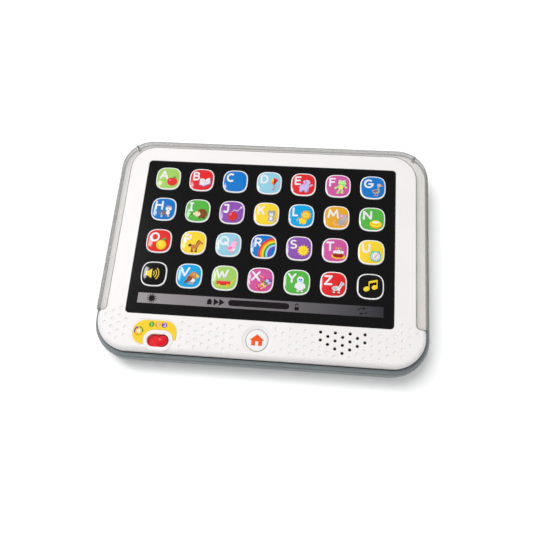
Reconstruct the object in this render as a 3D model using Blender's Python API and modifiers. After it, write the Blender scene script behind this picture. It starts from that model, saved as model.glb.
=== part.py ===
"""Toy learning tablet: a white face with 28 sprung picture keys under a black panel, a clear rim,
a grey back shell with a screwed battery door, a three-step slider, a home button and a speaker.

Units are metres, +Z up. The tablet lies on its four feet at z = 0, its centre over the origin,
+X to the right and +Y towards its top edge.
"""

import math

import bmesh
import bpy
from mathutils import Matrix, Vector

MM = 0.001
GAP = 0.3  # clearance between pieces, in mm like every size below

# Overall
HALF_WIDTH, HALF_DEPTH = 124.3, 90.0
BACK_Z, FACE_Z = 1.0, 27.0
PARTING_Z = 19.6  # top edge of the rear shell
WALL = 2.2
ARC_STEPS = 5

# Face of the front shell: a plateau inside the clear rim, and a wider band below it
FACE_HALF, FACE_TOP, FACE_RADIUS = 114.3, 82.0, 19.5
BAND_HALF, BAND_LOW, BAND_RADIUS = 120.6, -86.0, 24.0
SHOULDER_Y, SHOULDER_RADIUS, COVE_RADIUS = -56.5, 2.5, 3.5
FACE_THICKNESS = 2.6
BRIM_LOW, BRIM_HIGH, BRIM_TOP = 20.1, 21.5, 86.35

# Clear rim round the left, the top and the right
RIM_HALF, RIM_TOP, RIM_RADIUS = 122.3, 88.15, 24.0
RIM_HIGH, RIM_WALL = 26.6, 1.4
LUG_ANGLE, LUG_WIDTH, LUG_REACH = math.radians(53), 3.4, 4.6

# Screen panel and its keys
SCREEN_X = -1.2  # the panel and its keys sit a little left of the middle
SCREEN_HALF, SCREEN_HIGH, SCREEN_LOW, SCREEN_RADIUS = 98.5, 69.55, -58.2, 2.8
PANEL_LOW, PANEL_HIGH = 25.5, 26.8
KEY_ROWS = ("abcdefg", "hijklmn", "opqrstu", ("sound", "v", "w", "x", "y", "z", "music"))
KEY_PITCH, KEY_HALF, KEY_RADIUS = 27.0, 9.85, 7.4
KEY_GRID_Y = 13.25
KEY_FLANGE, KEY_FLANGE_THICKNESS = 1.0, 1.0
KEY_EDGE_Z, KEY_TOP_Z = 27.2, 28.5
KEY_TRAVEL = 1.0
MEMBRANE_THICKNESS, BOARD_THICKNESS = 1.0, 1.3

# Controls on the lower band
SLOT_X, SLOT_Y, SLOT_LENGTH, SLOT_WIDTH = -72.1, -77.85, 16.4, 9.5
SLIDER_TRAVEL, KNOB_RADIUS = 7.0, 4.2
HOME_Y, HOME_RADIUS, HOME_DISH_RADIUS, HOME_TRAVEL = -72.75, 8.0, 11.25, 0.9
SPEAKER_X, SPEAKER_Y, SPEAKER_RADIUS = 61.3, -67.0, 15.1
HOLE_TOP_Y, HOLE_STEP_X, HOLE_STEP_Y, HOLE_RADIUS = -63.15, 5.22, 2.95, 1.1
HOLE_ROWS = (4, 3, 4, 3, 2, 1)

# Back: battery bay, door, power slider, screws and feet
BAY_Y, BAY_HALF_X, BAY_HALF_Y, BAY_ROOF = 12.0, 29.5, 23.0, 18.2
DOOR_MARGIN, DOOR_THICKNESS, TAB_RADIUS = 4.0, 2.0, 6.5
TAB_Y = BAY_Y - BAY_HALF_Y - DOOR_MARGIN - 3.0
CELL_RADIUS, CELL_LENGTH, CELL_PITCH, CELL_Z = 7.1, 49.3, 14.9, 10.9
POWER_Y, POWER_TRAVEL = 62.0, 8.0
SCREW_X, SCREW_Y = 103.0, 66.0
SCREW_RADIUS, SCREW_HEAD_RADIUS, SCREW_SEAT = 1.5, 2.8, 6.0
FOOT_X, FOOT_Y, FOOT_RADIUS, FOOT_HEIGHT = 84.0, 64.0, 6.0, 1.5


def clear_scene():
    for thing in list(bpy.data.objects):
        bpy.data.objects.remove(thing, do_unlink=True)


def collection(name):
    made = bpy.data.collections.new(name)
    bpy.context.scene.collection.children.link(made)
    return made


def plastic(name, color, roughness, metallic=0.0, alpha=1.0):
    made = bpy.data.materials.new(name)
    made.use_nodes = True
    shader = made.node_tree.nodes["Principled BSDF"]
    shader.inputs["Base Color"].default_value = (*color, 1.0)
    shader.inputs["Roughness"].default_value = roughness
    shader.inputs["Metallic"].default_value = metallic
    shader.inputs["Alpha"].default_value = alpha
    made.diffuse_color = (*color, alpha)
    return made


def rounded(corners, steps=ARC_STEPS):
    """The outline through these (x, y, radius) corners, each rounded by an arc."""
    outline = []
    for i, (x, y, radius) in enumerate(corners):
        here = Vector((x, y))
        back = (Vector(corners[i - 1][:2]) - here).normalized()
        ahead = (Vector(corners[(i + 1) % len(corners)][:2]) - here).normalized()
        half = back.angle(ahead) / 2
        centre = here + (back + ahead).normalized() * radius / math.sin(half)
        start = here + back * radius / math.tan(half) - centre
        turn = start.angle_signed(here + ahead * radius / math.tan(half) - centre)
        for step in range(steps + 1):
            outline.append(centre + Matrix.Rotation(-turn * step / steps, 2) @ start)
    return outline


def rectangle(half_x, low, high, low_radius, high_radius=None, centre_x=0.0, steps=ARC_STEPS):
    high_radius = low_radius if high_radius is None else high_radius
    left, right = centre_x - half_x, centre_x + half_x
    return rounded(
        [(left, low, low_radius), (right, low, low_radius), (right, high, high_radius), (left, high, high_radius)],
        steps,
    )


def link(name, mesh, group, material, smooth=True):
    made = bpy.data.objects.new(name, mesh)
    group.objects.link(made)
    if material:
        mesh.materials.append(material)
    if smooth:
        mesh.shade_smooth()
        mesh.set_sharp_from_angle(angle=math.radians(35))
    if group is cutters:
        made.hide_render = True
        made.display_type = "WIRE"
    return made


def mesh_of(bm, name):
    bmesh.ops.recalc_face_normals(bm, faces=bm.faces)
    mesh = bpy.data.meshes.new(name)
    bm.to_mesh(mesh)
    bm.free()
    return mesh


def loft(name, levels, group, material=None, at=(0, 0, 0)):
    """A solid through outlines of equal length, each given as (z, outline), placed at `at`."""
    bm = bmesh.new()
    rings = []
    for z, outline in levels:
        rings.append([bm.verts.new(Vector((p.x, p.y, z)) * MM) for p in outline])
    bm.faces.new(rings[0])
    bm.faces.new(rings[-1])
    for lower, upper in zip(rings, rings[1:]):
        for i in range(len(lower)):
            bm.faces.new((lower[i - 1], lower[i], upper[i], upper[i - 1]))
    made = link(name, mesh_of(bm, name), group, material)
    made.location = Vector(at) * MM
    return made


def plate(name, outline, low, high, group, material=None, at=(0, 0, 0)):
    return loft(name, [(low, outline), (high, outline)], group, material, at)


def box(name, low, high, group, material=None):
    size = Vector(high) - Vector(low)
    bm = bmesh.new()
    bmesh.ops.create_cube(bm, size=MM)
    bmesh.ops.scale(bm, vec=size, verts=bm.verts)
    bmesh.ops.translate(bm, vec=(Vector(low) + size / 2) * MM, verts=bm.verts)
    return link(name, mesh_of(bm, name), group, material, smooth=False)


def cylinder(name, radius, low, high, group, material=None, at=(0, 0), sides=20, top_radius=None):
    bm = bmesh.new()
    bmesh.ops.create_cone(
        bm,
        cap_ends=True,
        segments=sides,
        radius1=radius * MM,
        radius2=(radius if top_radius is None else top_radius) * MM,
        depth=(high - low) * MM,
    )
    bmesh.ops.translate(bm, vec=Vector((0, 0, (low + high) / 2)) * MM, verts=bm.verts)
    made = link(name, mesh_of(bm, name), group, material)
    made.location = Vector((*at, 0)) * MM
    return made


def turned(name, profile, group, material=None, at=(0, 0, 0), sides=24, lay_along_x=False):
    """A solid turned about Z from (radius, z) points that run down its outer side, top to bottom."""
    mesh = bpy.data.meshes.new(name)
    points = [Vector((radius, 0, z)) * MM for radius, z in profile]
    mesh.from_pydata(points, [(i, i + 1) for i in range(len(points) - 1)], [])
    made = link(name, mesh, group, material)
    made.location = Vector(at) * MM
    if lay_along_x:
        made.rotation_euler = (0, math.radians(90), 0)
    screw = made.modifiers.new("turn", "SCREW")
    screw.steps = screw.render_steps = sides
    screw.use_merge_vertices = True
    screw.merge_threshold = 1e-6
    screw.use_smooth_shade = True
    return made


def cut(target, cutter, operation="DIFFERENCE"):
    step = target.modifiers.new(cutter.name, "BOOLEAN")
    step.operation = operation
    step.object = cutter


def join(target, other):
    cut(target, other, "UNION")


def key_places():
    for row, names in enumerate(KEY_ROWS):
        for column, name in enumerate(names):
            yield f"key_{name}", SCREEN_X + (column - 3) * KEY_PITCH, KEY_GRID_Y + (1.5 - row) * KEY_PITCH


def stadium(length, width, x, y, steps=6):
    radius = width / 2 - 0.01
    return rectangle(length / 2, y - width / 2, y + width / 2, radius, centre_x=x, steps=steps)


def face_outline(edge, band_edge, grow=0.0):
    """The front shell's outline, drawn in by `edge` on the plateau and by `band_edge` on the band."""
    face, band = FACE_HALF - edge + grow, BAND_HALF - band_edge + grow
    low, top, shoulder = BAND_LOW + band_edge - grow, FACE_TOP - edge + grow, SHOULDER_Y - edge + grow
    low_radius, top_radius = BAND_RADIUS - band_edge, FACE_RADIUS - edge
    return rounded(
        [
            (-band, low, low_radius),
            (band, low, low_radius),
            (band, shoulder, SHOULDER_RADIUS),
            (face, shoulder, COVE_RADIUS),
            (face, top, top_radius),
            (-face, top, top_radius),
            (-face, shoulder, COVE_RADIUS),
            (-band, shoulder, SHOULDER_RADIUS),
        ]
    )


def lug_box(name, low, high, side, grow, group):
    """A block along the radius of the rim's top corner on that side, for the lug or its notch."""
    bm = bmesh.new()
    bmesh.ops.create_cube(bm, size=MM)
    length = LUG_REACH + 2 * grow
    bmesh.ops.scale(bm, vec=(length, LUG_WIDTH + 2 * grow, high - low), verts=bm.verts)
    reach = RIM_RADIUS + 0.5 + grow - length / 2
    bmesh.ops.translate(bm, vec=Vector((reach, 0, (low + high) / 2)) * MM, verts=bm.verts)
    angle = LUG_ANGLE if side > 0 else math.pi - LUG_ANGLE
    corner = Vector((side * (RIM_HALF - RIM_RADIUS), RIM_TOP - RIM_RADIUS, 0)) * MM
    bmesh.ops.transform(bm, matrix=Matrix.Translation(corner) @ Matrix.Rotation(angle, 4, "Z"), verts=bm.verts)
    return link(name, mesh_of(bm, name), group, None, smooth=False)


def label_outline(grow=0.0):
    left, right, top, low = -91.9 - grow, -59.2 + grow, -62.95 + grow, -81.0 - grow
    arch_left, arch_right, arch_top, tip = -82.5 + grow, -61.7 - grow, -69.75 - grow, -76.9 - grow
    return rounded(
        [
            (left, low, 8.2),
            (left, top, 9.5),
            (right, top, 8.5),
            (right, tip, 0.8),
            (arch_right, tip, 0.8),
            (arch_right, arch_top, 7.0),
            (arch_left, arch_top, 7.0),
            (arch_left, low, 0.8),
        ],
        steps=4,
    )


def front_shell():
    levels = [(20.0, 0, 0), (23.4, 0, 0.2), (25.0, 0, 0.8), (26.2, 0, 1.8), (26.8, 0.3, 2.9), (FACE_Z, 0.9, 4.0)]
    shell = loft("front_shell", [(z, face_outline(e, b)) for z, e, b in levels], parts, white)
    brim = rectangle(BAND_HALF, -62.0, BRIM_TOP, 2.0, 22.2)
    join(shell, plate("front_brim", brim, BRIM_LOW, BRIM_HIGH, cutters))
    hollow = [(19.0, WALL, WALL), (22.4, WALL, WALL + 0.2), (FACE_Z - FACE_THICKNESS, WALL, 3.0)]
    cut(shell, loft("front_hollow", [(z, face_outline(e, b)) for z, e, b in hollow], cutters))
    for side in (-1, 1):
        cut(shell, lug_box(f"brim_notch_{side}", 19.0, 23.0, side, 0.5, cutters))
        for end in (-1, 1):
            at = (side * SCREW_X, end * SCREW_Y)
            join(shell, cylinder(f"front_boss_{side}_{end}", 3.8, 19.3, 25.0, cutters, at=at))
            cut(shell, cylinder(f"front_boss_hole_{side}_{end}", 1.8, 18.0, 24.2, cutters, at=at, sides=12))
    pocket = rectangle(
        SCREEN_HALF + GAP, SCREEN_LOW - GAP, SCREEN_HIGH + GAP, SCREEN_RADIUS + GAP, centre_x=SCREEN_X
    )
    cut(shell, plate("screen_pocket", pocket, PANEL_LOW - GAP, 28.0, cutters))
    window = rectangle(SCREEN_HALF - 2.8, SCREEN_LOW + 2.8, SCREEN_HIGH - 2.8, 2.0, centre_x=SCREEN_X)
    cut(shell, plate("screen_window", window, 20.0, 27.0, cutters))
    cut(shell, plate("label_recess", label_outline(GAP), 26.2, 28.0, cutters))
    slot = stadium(SLOT_LENGTH, SLOT_WIDTH, SLOT_X, SLOT_Y)
    cut(shell, plate("slider_slot", slot, 20.0, 28.0, cutters))
    dish = [(0, 28.0), (12.4, 28.0), (HOME_DISH_RADIUS, 27.05), (9.9, 26.2), (HOME_RADIUS + GAP, 25.9)]
    dish += [(HOME_RADIUS + GAP, 23.0), (0, 23.0)]
    cut(shell, turned("home_dish", dish, cutters, at=(0, HOME_Y, 0)))
    for row, count in enumerate(HOLE_ROWS):
        for hole in range(count):
            at = (SPEAKER_X + (2 * hole - count + 1) * HOLE_STEP_X, HOLE_TOP_Y - row * HOLE_STEP_Y)
            cut(shell, cylinder(f"speaker_hole_{row}_{hole}", HOLE_RADIUS, 23.0, 28.0, cutters, at=at, sides=8))


def clear_rim():
    def channel(outer, inner, end, top_grow):
        outer_radius, inner_radius = RIM_RADIUS - (RIM_HALF - outer), FACE_RADIUS + inner - FACE_HALF
        outer_top, inner_top = RIM_TOP - (RIM_HALF - outer), FACE_TOP + inner - FACE_HALF + top_grow
        return rounded(
            [
                (-outer, end, 0.6),
                (-inner, end, COVE_RADIUS - 0.3),
                (-inner, inner_top, inner_radius),
                (inner, inner_top, inner_radius),
                (inner, end, COVE_RADIUS - 0.3),
                (outer, end, 0.6),
                (outer, outer_top, outer_radius),
                (-outer, outer_top, outer_radius),
            ]
        )

    inner, end = FACE_HALF + GAP, SHOULDER_Y + GAP
    levels = [(20.0, 0), (25.0, 0), (26.2, 0.5), (RIM_HIGH, 1.5)]
    rim = loft("clear_rim", [(z, channel(RIM_HALF - e, inner, end, 0)) for z, e in levels], parts, clear)
    hollow = channel(RIM_HALF - RIM_WALL, FACE_HALF - 1, end - 6, 0)
    cut(rim, plate("rim_hollow", hollow, 19.0, 25.1, cutters))
    for side in (-1, 1):
        cut(rim, lug_box(f"rim_notch_{side}", 19.0, 28.0, side, GAP, cutters))


def back_outline(inset):
    return rectangle(
        HALF_WIDTH - inset, -HALF_DEPTH + inset, HALF_DEPTH - inset, max(28 - inset, 4), max(26 - inset, 4)
    )


def rear_shell():
    outside = [(BACK_Z, 9), (1.8, 5.4), (4, 2.5), (7.5, 0.7), (11, 0), (15, 0), (18, 0.5), (PARTING_Z, 1.3)]
    inside = [(3.2, 11.2), (4.6, 6.6), (8, 3.1), (12, WALL), (20.6, WALL + 1.4)]
    shell = loft("rear_shell", [(z, back_outline(e)) for z, e in outside], parts, grey)
    cut(shell, loft("rear_hollow", [(z, back_outline(e)) for z, e in inside], cutters))
    for side in (-1, 1):
        join(shell, lug_box(f"lug_{side}", PARTING_Z - 1.5, 26.2, side, 0, cutters))
    bay_wall = 1.5
    bay = rectangle(BAY_HALF_X + bay_wall, BAY_Y - BAY_HALF_Y - bay_wall, BAY_Y + BAY_HALF_Y + bay_wall, 1.5)
    join(shell, plate("bay_walls", bay, 2.2, BAY_ROOF + bay_wall, cutters))
    frame = DOOR_MARGIN + 2.5
    seat = rectangle(BAY_HALF_X + frame, BAY_Y - BAY_HALF_Y - frame, BAY_Y + BAY_HALF_Y + frame, 4)
    join(shell, plate("door_seat", seat, 2.3, 5.0, cutters))
    join(shell, cylinder("door_boss", TAB_RADIUS + 2.5, 2.4, 5.2, cutters, at=(0, TAB_Y)))
    join(shell, cylinder("door_screw_boss", 4.0, 2.5, 12.0, cutters, at=(0, TAB_Y)))
    bay_hole = rectangle(BAY_HALF_X, BAY_Y - BAY_HALF_Y, BAY_Y + BAY_HALF_Y, 1)
    cut(shell, plate("bay_hollow", bay_hole, 0.0, BAY_ROOF, cutters))
    cut(shell, plate("door_rebate", door_outline(GAP), 0.0, BACK_Z + DOOR_THICKNESS + GAP, cutters))
    cut(shell, cylinder("tab_rebate", TAB_RADIUS + GAP, 0.1, BACK_Z + DOOR_THICKNESS + 0.2, cutters, at=(0, TAB_Y)))
    cut(shell, cylinder("door_screw_hole", 1.8, 0.2, 10.8, cutters, at=(0, TAB_Y), sides=12))
    cut(shell, plate("power_well", stadium(26, 13, 0, POWER_Y), 0.0, 2.0, cutters))
    cut(shell, plate("power_slot", stadium(14.6, 5, 0, POWER_Y), 0.1, 4.0, cutters))
    for side in (-1, 1):
        for end in (-1, 1):
            at, mark = (side * SCREW_X, end * SCREW_Y), f"{side}_{end}"
            join(shell, cylinder(f"back_boss_{mark}", 5.0, 2.6, 18.9, cutters, at=at))
            cut(shell, cylinder(f"back_bore_{mark}", 3.3, 0.0, SCREW_SEAT, cutters, at=at))
            cut(shell, cylinder(f"back_hole_{mark}", 1.9, 1.0, 20.0, cutters, at=at, sides=12))
            foot = (side * FOOT_X, end * FOOT_Y)
            cut(shell, cylinder(f"foot_pocket_{mark}", FOOT_RADIUS + GAP, 0.0, 1.8, cutters, at=foot, sides=24))


def door_outline(grow=0.0):
    margin = DOOR_MARGIN - 0.6 + grow
    return rectangle(BAY_HALF_X + margin, BAY_Y - BAY_HALF_Y - margin, BAY_Y + BAY_HALF_Y + margin, 3 + grow)


def battery_door():
    door = plate("battery_door", door_outline(), BACK_Z, BACK_Z + DOOR_THICKNESS, parts, grey)
    join(door, cylinder("door_tab", TAB_RADIUS, BACK_Z + 0.02, BACK_Z + DOOR_THICKNESS - 0.1, cutters, at=(0, TAB_Y)))
    cut(door, cylinder("door_head_seat", SCREW_HEAD_RADIUS + GAP, 0.0, 2.0, cutters, at=(0, TAB_Y)))
    cut(door, cylinder("door_shaft_hole", SCREW_RADIUS + GAP, 0.5, 4.0, cutters, at=(0, TAB_Y), sides=12))
    rib = rectangle(BAY_HALF_X - 1.5, BAY_Y - BAY_HALF_Y + 1.5, BAY_Y + BAY_HALF_Y - 1.5, 1)
    join(door, plate("door_step", rib, BACK_Z + 1.0, 3.7, cutters))


def screw(name, at, head_low, seat, tip):
    profile = [(0, tip), (0.5, tip), (SCREW_RADIUS, tip - 1.2), (SCREW_RADIUS, seat), (SCREW_HEAD_RADIUS, seat)]
    profile += [(SCREW_HEAD_RADIUS, head_low + 0.4), (SCREW_HEAD_RADIUS - 0.5, head_low), (0, head_low)]
    turned(name, profile, parts, steel, at=(*at, 0), sides=12)


def screws():
    for index, (x, y) in enumerate(((-1, 1), (1, 1), (-1, -1), (1, -1)), 1):
        place = (x * SCREW_X, y * SCREW_Y)
        screw(f"case_screw_{index}", place, SCREW_SEAT - GAP - 2.0, SCREW_SEAT - GAP, 23.4)
    screw("battery_door_screw", (0, TAB_Y), BACK_Z + 0.05, 1.7, 10.2)


def feet():
    for index, (x, y) in enumerate(((-1, 1), (1, 1), (-1, -1), (1, -1)), 1):
        profile = [(0, FOOT_HEIGHT), (FOOT_RADIUS, FOOT_HEIGHT), (FOOT_RADIUS, 0.4), (FOOT_RADIUS - 0.5, 0), (0, 0)]
        turned(f"rubber_foot_{index}", profile, parts, rubber, at=(x * FOOT_X, y * FOOT_Y, 0))


def screen_panel():
    outline = rectangle(SCREEN_HALF, SCREEN_LOW, SCREEN_HIGH, SCREEN_RADIUS, centre_x=SCREEN_X)
    panel = plate("screen_panel", outline, PANEL_LOW, PANEL_HIGH, parts, black)
    hole = key_outline(KEY_HALF + GAP, KEY_RADIUS + GAP)
    for name, x, y in key_places():
        cut(panel, plate(f"{name}_hole", hole, PANEL_LOW - 1, PANEL_HIGH + 1, cutters, at=(x, y, 0)))


def key_outline(half, radius):
    return rectangle(half, -half, half, radius, steps=3)


def keys():
    """Each key is a flange held under the panel, a neck through it and a pillow top."""
    flange_high = PANEL_LOW - GAP
    levels = [
        (flange_high - KEY_FLANGE_THICKNESS, KEY_FLANGE, 0),
        (flange_high, KEY_FLANGE, 0),
        (flange_high, 0, 0),
        (KEY_EDGE_Z, 0, 0),
        (KEY_EDGE_Z + 0.6, -1.0, 0),
        (KEY_TOP_Z, -5.2, -3.4),
    ]
    rings = [(z, key_outline(KEY_HALF + grow, KEY_RADIUS + max(grow, -1) + tighter)) for z, grow, tighter in levels]
    colors = {
        "red": (0.75, 0.03, 0.03), "green": (0.12, 0.5, 0.1), "lime": (0.38, 0.63, 0.11),
        "blue": (0.01, 0.16, 0.65), "sky": (0.24, 0.6, 0.8), "pink": (0.68, 0.1, 0.33),
        "purple": (0.26, 0.07, 0.42), "yellow": (0.93, 0.66, 0.03), "orange": (0.82, 0.37, 0.02),
        "black": (0.02, 0.02, 0.02),
    }
    order = "lime red blue sky red pink blue blue green purple yellow blue orange green".split()
    order += "red yellow sky blue purple pink yellow black blue lime pink green red black".split()
    made = {name: plastic(f"key_{name}", color, 0.2) for name, color in colors.items()}
    for (name, x, y), color in zip(key_places(), order):
        loft(name, rings, parts, made[color], at=(x, y, 0))


def home_button():
    plate_under = FACE_Z - FACE_THICKNESS
    profile = [(0, 27.1), (4.5, 26.95), (HOME_RADIUS - 0.8, 26.6), (HOME_RADIUS, 26.1)]
    profile += [(HOME_RADIUS, plate_under - GAP), (HOME_RADIUS + 1.2, plate_under - GAP)]
    profile += [(HOME_RADIUS + 1.2, plate_under - GAP - 0.8), (0, plate_under - GAP - 0.8)]
    turned("home_button", profile, parts, white, at=(0, HOME_Y, 0))


def stage_slider():
    """A plate that stays under the slot at both ends of its travel, and a domed knob at the right."""
    knob_x = SLOT_X + SLOT_LENGTH / 2 - KNOB_RADIUS - 0.75
    left, right = SLOT_X - SLOT_LENGTH / 2 - 0.7, SLOT_X + SLOT_LENGTH / 2 + SLIDER_TRAVEL + 0.7
    outline = rectangle((right - left) / 2, SLOT_Y - 4.95, SLOT_Y + 4.95, 2, centre_x=(left + right) / 2)
    slider = plate("stage_slider", outline, 22.7, 24.1, parts, red)
    dome = [(0, 27.7), (1.9, 27.5), (3.3, 26.7), (KNOB_RADIUS, 25.2), (KNOB_RADIUS + 0.05, 23.2), (0, 23.2)]
    join(slider, turned("slider_knob", dome, cutters, at=(knob_x, SLOT_Y, 0)))


def power_slider():
    left, right = -POWER_TRAVEL / 2 - 2.5, -POWER_TRAVEL / 2 + 2.5
    slider = box("power_slider", (left - 5, POWER_Y - 4, 3.5), (right + 12, POWER_Y + 4, 4.7), parts, grey_dark)
    middle = (left + right) / 2
    join(slider, plate("power_knob", stadium(5.4, 4.2, 0, 0, 3), 0.8, 4.0, cutters, at=(middle, POWER_Y, 0)))


def boards():
    membrane_high = PANEL_LOW - 2 * GAP - KEY_FLANGE_THICKNESS - KEY_TRAVEL
    membrane_low = membrane_high - MEMBRANE_THICKNESS
    area = rectangle(93, -49, 66.5, 2, centre_x=SCREEN_X)
    plate("key_membrane", area, membrane_low, membrane_high, parts, rubber_grey)
    plate("main_board", area, membrane_low - GAP - BOARD_THICKNESS, membrane_low - GAP, parts, board_green)
    strip = rectangle(50.5, -84, -61, 1, centre_x=-38.5)
    plate("control_board", strip, 17.2, 18.8, parts, board_green)
    box("home_switch", (-3, HOME_Y - 3, 19.1), (3, HOME_Y + 3, 22.2), parts, black)
    box("stage_switch", (SLOT_X - 6, SLOT_Y - 3, 19.1), (SLOT_X + 10, SLOT_Y + 3, 22.4), parts, steel)
    box("power_switch", (-9, POWER_Y - 4, 5.0), (9, POWER_Y + 4, 9.0), parts, steel)


def speaker():
    at = (SPEAKER_X, SPEAKER_Y, 0)
    high, radius = FACE_Z - FACE_THICKNESS - GAP, SPEAKER_RADIUS
    cup = [(radius - 1.6, high), (radius, high), (radius, high - 1.8), (radius - 1.2, high - 2.2), (9, 17.0)]
    cup += [(7.6, 16.0), (0, 16.0), (0, 17.2), (7.2, 17.4), (radius - 1.6, high - 1.8), (radius - 1.6, high)]
    turned("speaker_frame", cup, parts, steel, at=at)
    cone = [(0, 20.0), (3.2, 19.6), (radius - 2.2, high - 0.3), (radius - 2.2, high - 0.8), (3.4, 18.9), (0, 18.9)]
    turned("speaker_cone", cone, parts, black, at=at)
    magnet = [(0, 15.7), (8, 15.7), (8, 10.0), (7.4, 9.4), (0, 9.4)]
    turned("speaker_magnet", magnet, parts, steel, at=at)


def batteries():
    half = CELL_LENGTH / 2
    profile = [(0, half + 1.2), (2.7, half + 1.2), (2.7, half), (CELL_RADIUS - 0.4, half), (CELL_RADIUS, half - 0.4)]
    profile += [(CELL_RADIUS, 0.4 - half), (CELL_RADIUS - 0.4, -half), (0, -half)]
    for index in range(3):
        at = (0, BAY_Y + (1 - index) * CELL_PITCH, CELL_Z)
        cell = turned(f"battery_cell_{index + 1}", profile, parts, cell_wrap, at=at, sides=16, lay_along_x=True)
        if index == 1:
            cell.rotation_euler = (0, math.radians(-90), 0)
    for side, name in ((-1, "contact_plate_left"), (1, "contact_plate_right")):
        outer, inner = side * (BAY_HALF_X - GAP), side * (BAY_HALF_X - GAP - 0.5)
        low, high = (min(outer, inner), BAY_Y - 21, 5.0), (max(outer, inner), BAY_Y + 21, 16.5)
        contact = box(name, low, high, parts, steel)
        for index in range(3):
            bump = cylinder(f"{name}_bump_{index}", 3, 0, 2.4, cutters, sides=12, top_radius=1.5)
            bump.rotation_euler = (0, math.radians(-90 * side), 0)
            bump.location = Vector((side * (BAY_HALF_X - GAP - 0.2), BAY_Y + (1 - index) * CELL_PITCH, CELL_Z)) * MM
            join(contact, bump)


clear_scene()
parts = collection("toy_tablet")
cutters = collection("toy_tablet_cutters")
white = plastic("white_shell", (0.93, 0.92, 0.91), 0.3)
grey = plastic("grey_shell", (0.17, 0.2, 0.21), 0.45)
grey_dark = plastic("dark_grey", (0.05, 0.055, 0.06), 0.5)
black = plastic("black_panel", (0.012, 0.011, 0.012), 0.25)
clear = plastic("clear_rim", (0.85, 0.84, 0.82), 0.08, alpha=0.4)
yellow = plastic("label_yellow", (0.95, 0.66, 0.01), 0.35)
red = plastic("slider_red", (0.72, 0.01, 0.03), 0.25)
steel = plastic("steel", (0.6, 0.6, 0.6), 0.35, metallic=1.0)
rubber = plastic("foot_rubber", (0.05, 0.05, 0.05), 0.8)
rubber_grey = plastic("membrane_rubber", (0.5, 0.5, 0.5), 0.7)
board_green = plastic("board_green", (0.02, 0.2, 0.06), 0.5)
cell_wrap = plastic("cell_wrap", (0.1, 0.1, 0.35), 0.3)

front_shell()
clear_rim()
rear_shell()
battery_door()
screws()
feet()
screen_panel()
keys()
plate("switch_label", label_outline(), 26.5, 26.8, parts, yellow)
home_button()
stage_slider()
power_slider()
boards()
speaker()
batteries()
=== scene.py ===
import math

import bmesh
import bpy
from mathutils import Matrix, Vector


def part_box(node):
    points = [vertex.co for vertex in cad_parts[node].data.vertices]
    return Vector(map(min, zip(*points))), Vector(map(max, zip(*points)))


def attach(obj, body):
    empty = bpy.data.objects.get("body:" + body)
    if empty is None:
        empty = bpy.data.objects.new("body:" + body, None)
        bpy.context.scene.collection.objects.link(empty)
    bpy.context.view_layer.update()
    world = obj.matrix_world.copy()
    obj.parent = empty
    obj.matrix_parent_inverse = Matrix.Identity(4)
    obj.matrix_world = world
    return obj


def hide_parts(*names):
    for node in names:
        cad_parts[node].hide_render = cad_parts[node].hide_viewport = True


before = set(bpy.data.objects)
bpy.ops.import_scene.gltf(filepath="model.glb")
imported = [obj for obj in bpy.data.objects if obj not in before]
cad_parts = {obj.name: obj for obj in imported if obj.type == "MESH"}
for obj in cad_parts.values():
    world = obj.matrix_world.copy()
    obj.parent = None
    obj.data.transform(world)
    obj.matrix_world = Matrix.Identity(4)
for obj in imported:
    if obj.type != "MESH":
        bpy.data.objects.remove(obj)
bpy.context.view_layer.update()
mm = 0.001
scene = bpy.context.scene


# colours and materials

def paint(code):  # a screen colour code as the linear colour that shaders take
    parts = [int(code[i:i + 2], 16) / 255 for i in (0, 2, 4)]
    return tuple(c / 12.92 if c < 0.04 else ((c + 0.055) / 1.055) ** 2.4 for c in parts) + (1.0,)


mould = {"cloud": 40, "cloudDetail": 3, "grainDetail": 2, "glossSpread": 0.12, "relief": 0.5,
         "coatRoughness": 0.08, "glowDepth": 0.002}


def setInputs(node, **values):  # an underscore in a name stands for a space
    for name, value in values.items():
        node.inputs[name.replace("_", " ")].default_value = value
    return node


def newMaterial(name):
    mat = bpy.data.materials.new(name)
    mat.use_nodes = True
    nodes, links = mat.node_tree.nodes, mat.node_tree.links
    return mat, nodes, links, nodes["Principled BSDF"]


def addNoise(nodes, links, place, **values):
    noise = setInputs(nodes.new("ShaderNodeTexNoise"), **values)
    links.new(place.outputs["Object"], noise.inputs["Vector"])
    return noise


def unevenGloss(nodes, links, shader, noise, roughness, spread):
    gloss = setInputs(nodes.new("ShaderNodeMapRange"), To_Min=roughness * (1 - spread),
                      To_Max=roughness * (1 + spread))
    links.new(noise.outputs["Fac"], gloss.inputs["Value"])
    links.new(gloss.outputs["Result"], shader.inputs["Roughness"])


def mixColors(nodes, links, share, first, second, target):
    mix = nodes.new("ShaderNodeMix")
    mix.data_type = "RGBA"
    setInputs(mix, A=first, B=second)
    links.new(share, mix.inputs["Factor"])
    links.new(mix.outputs["Result"], target)


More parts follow.
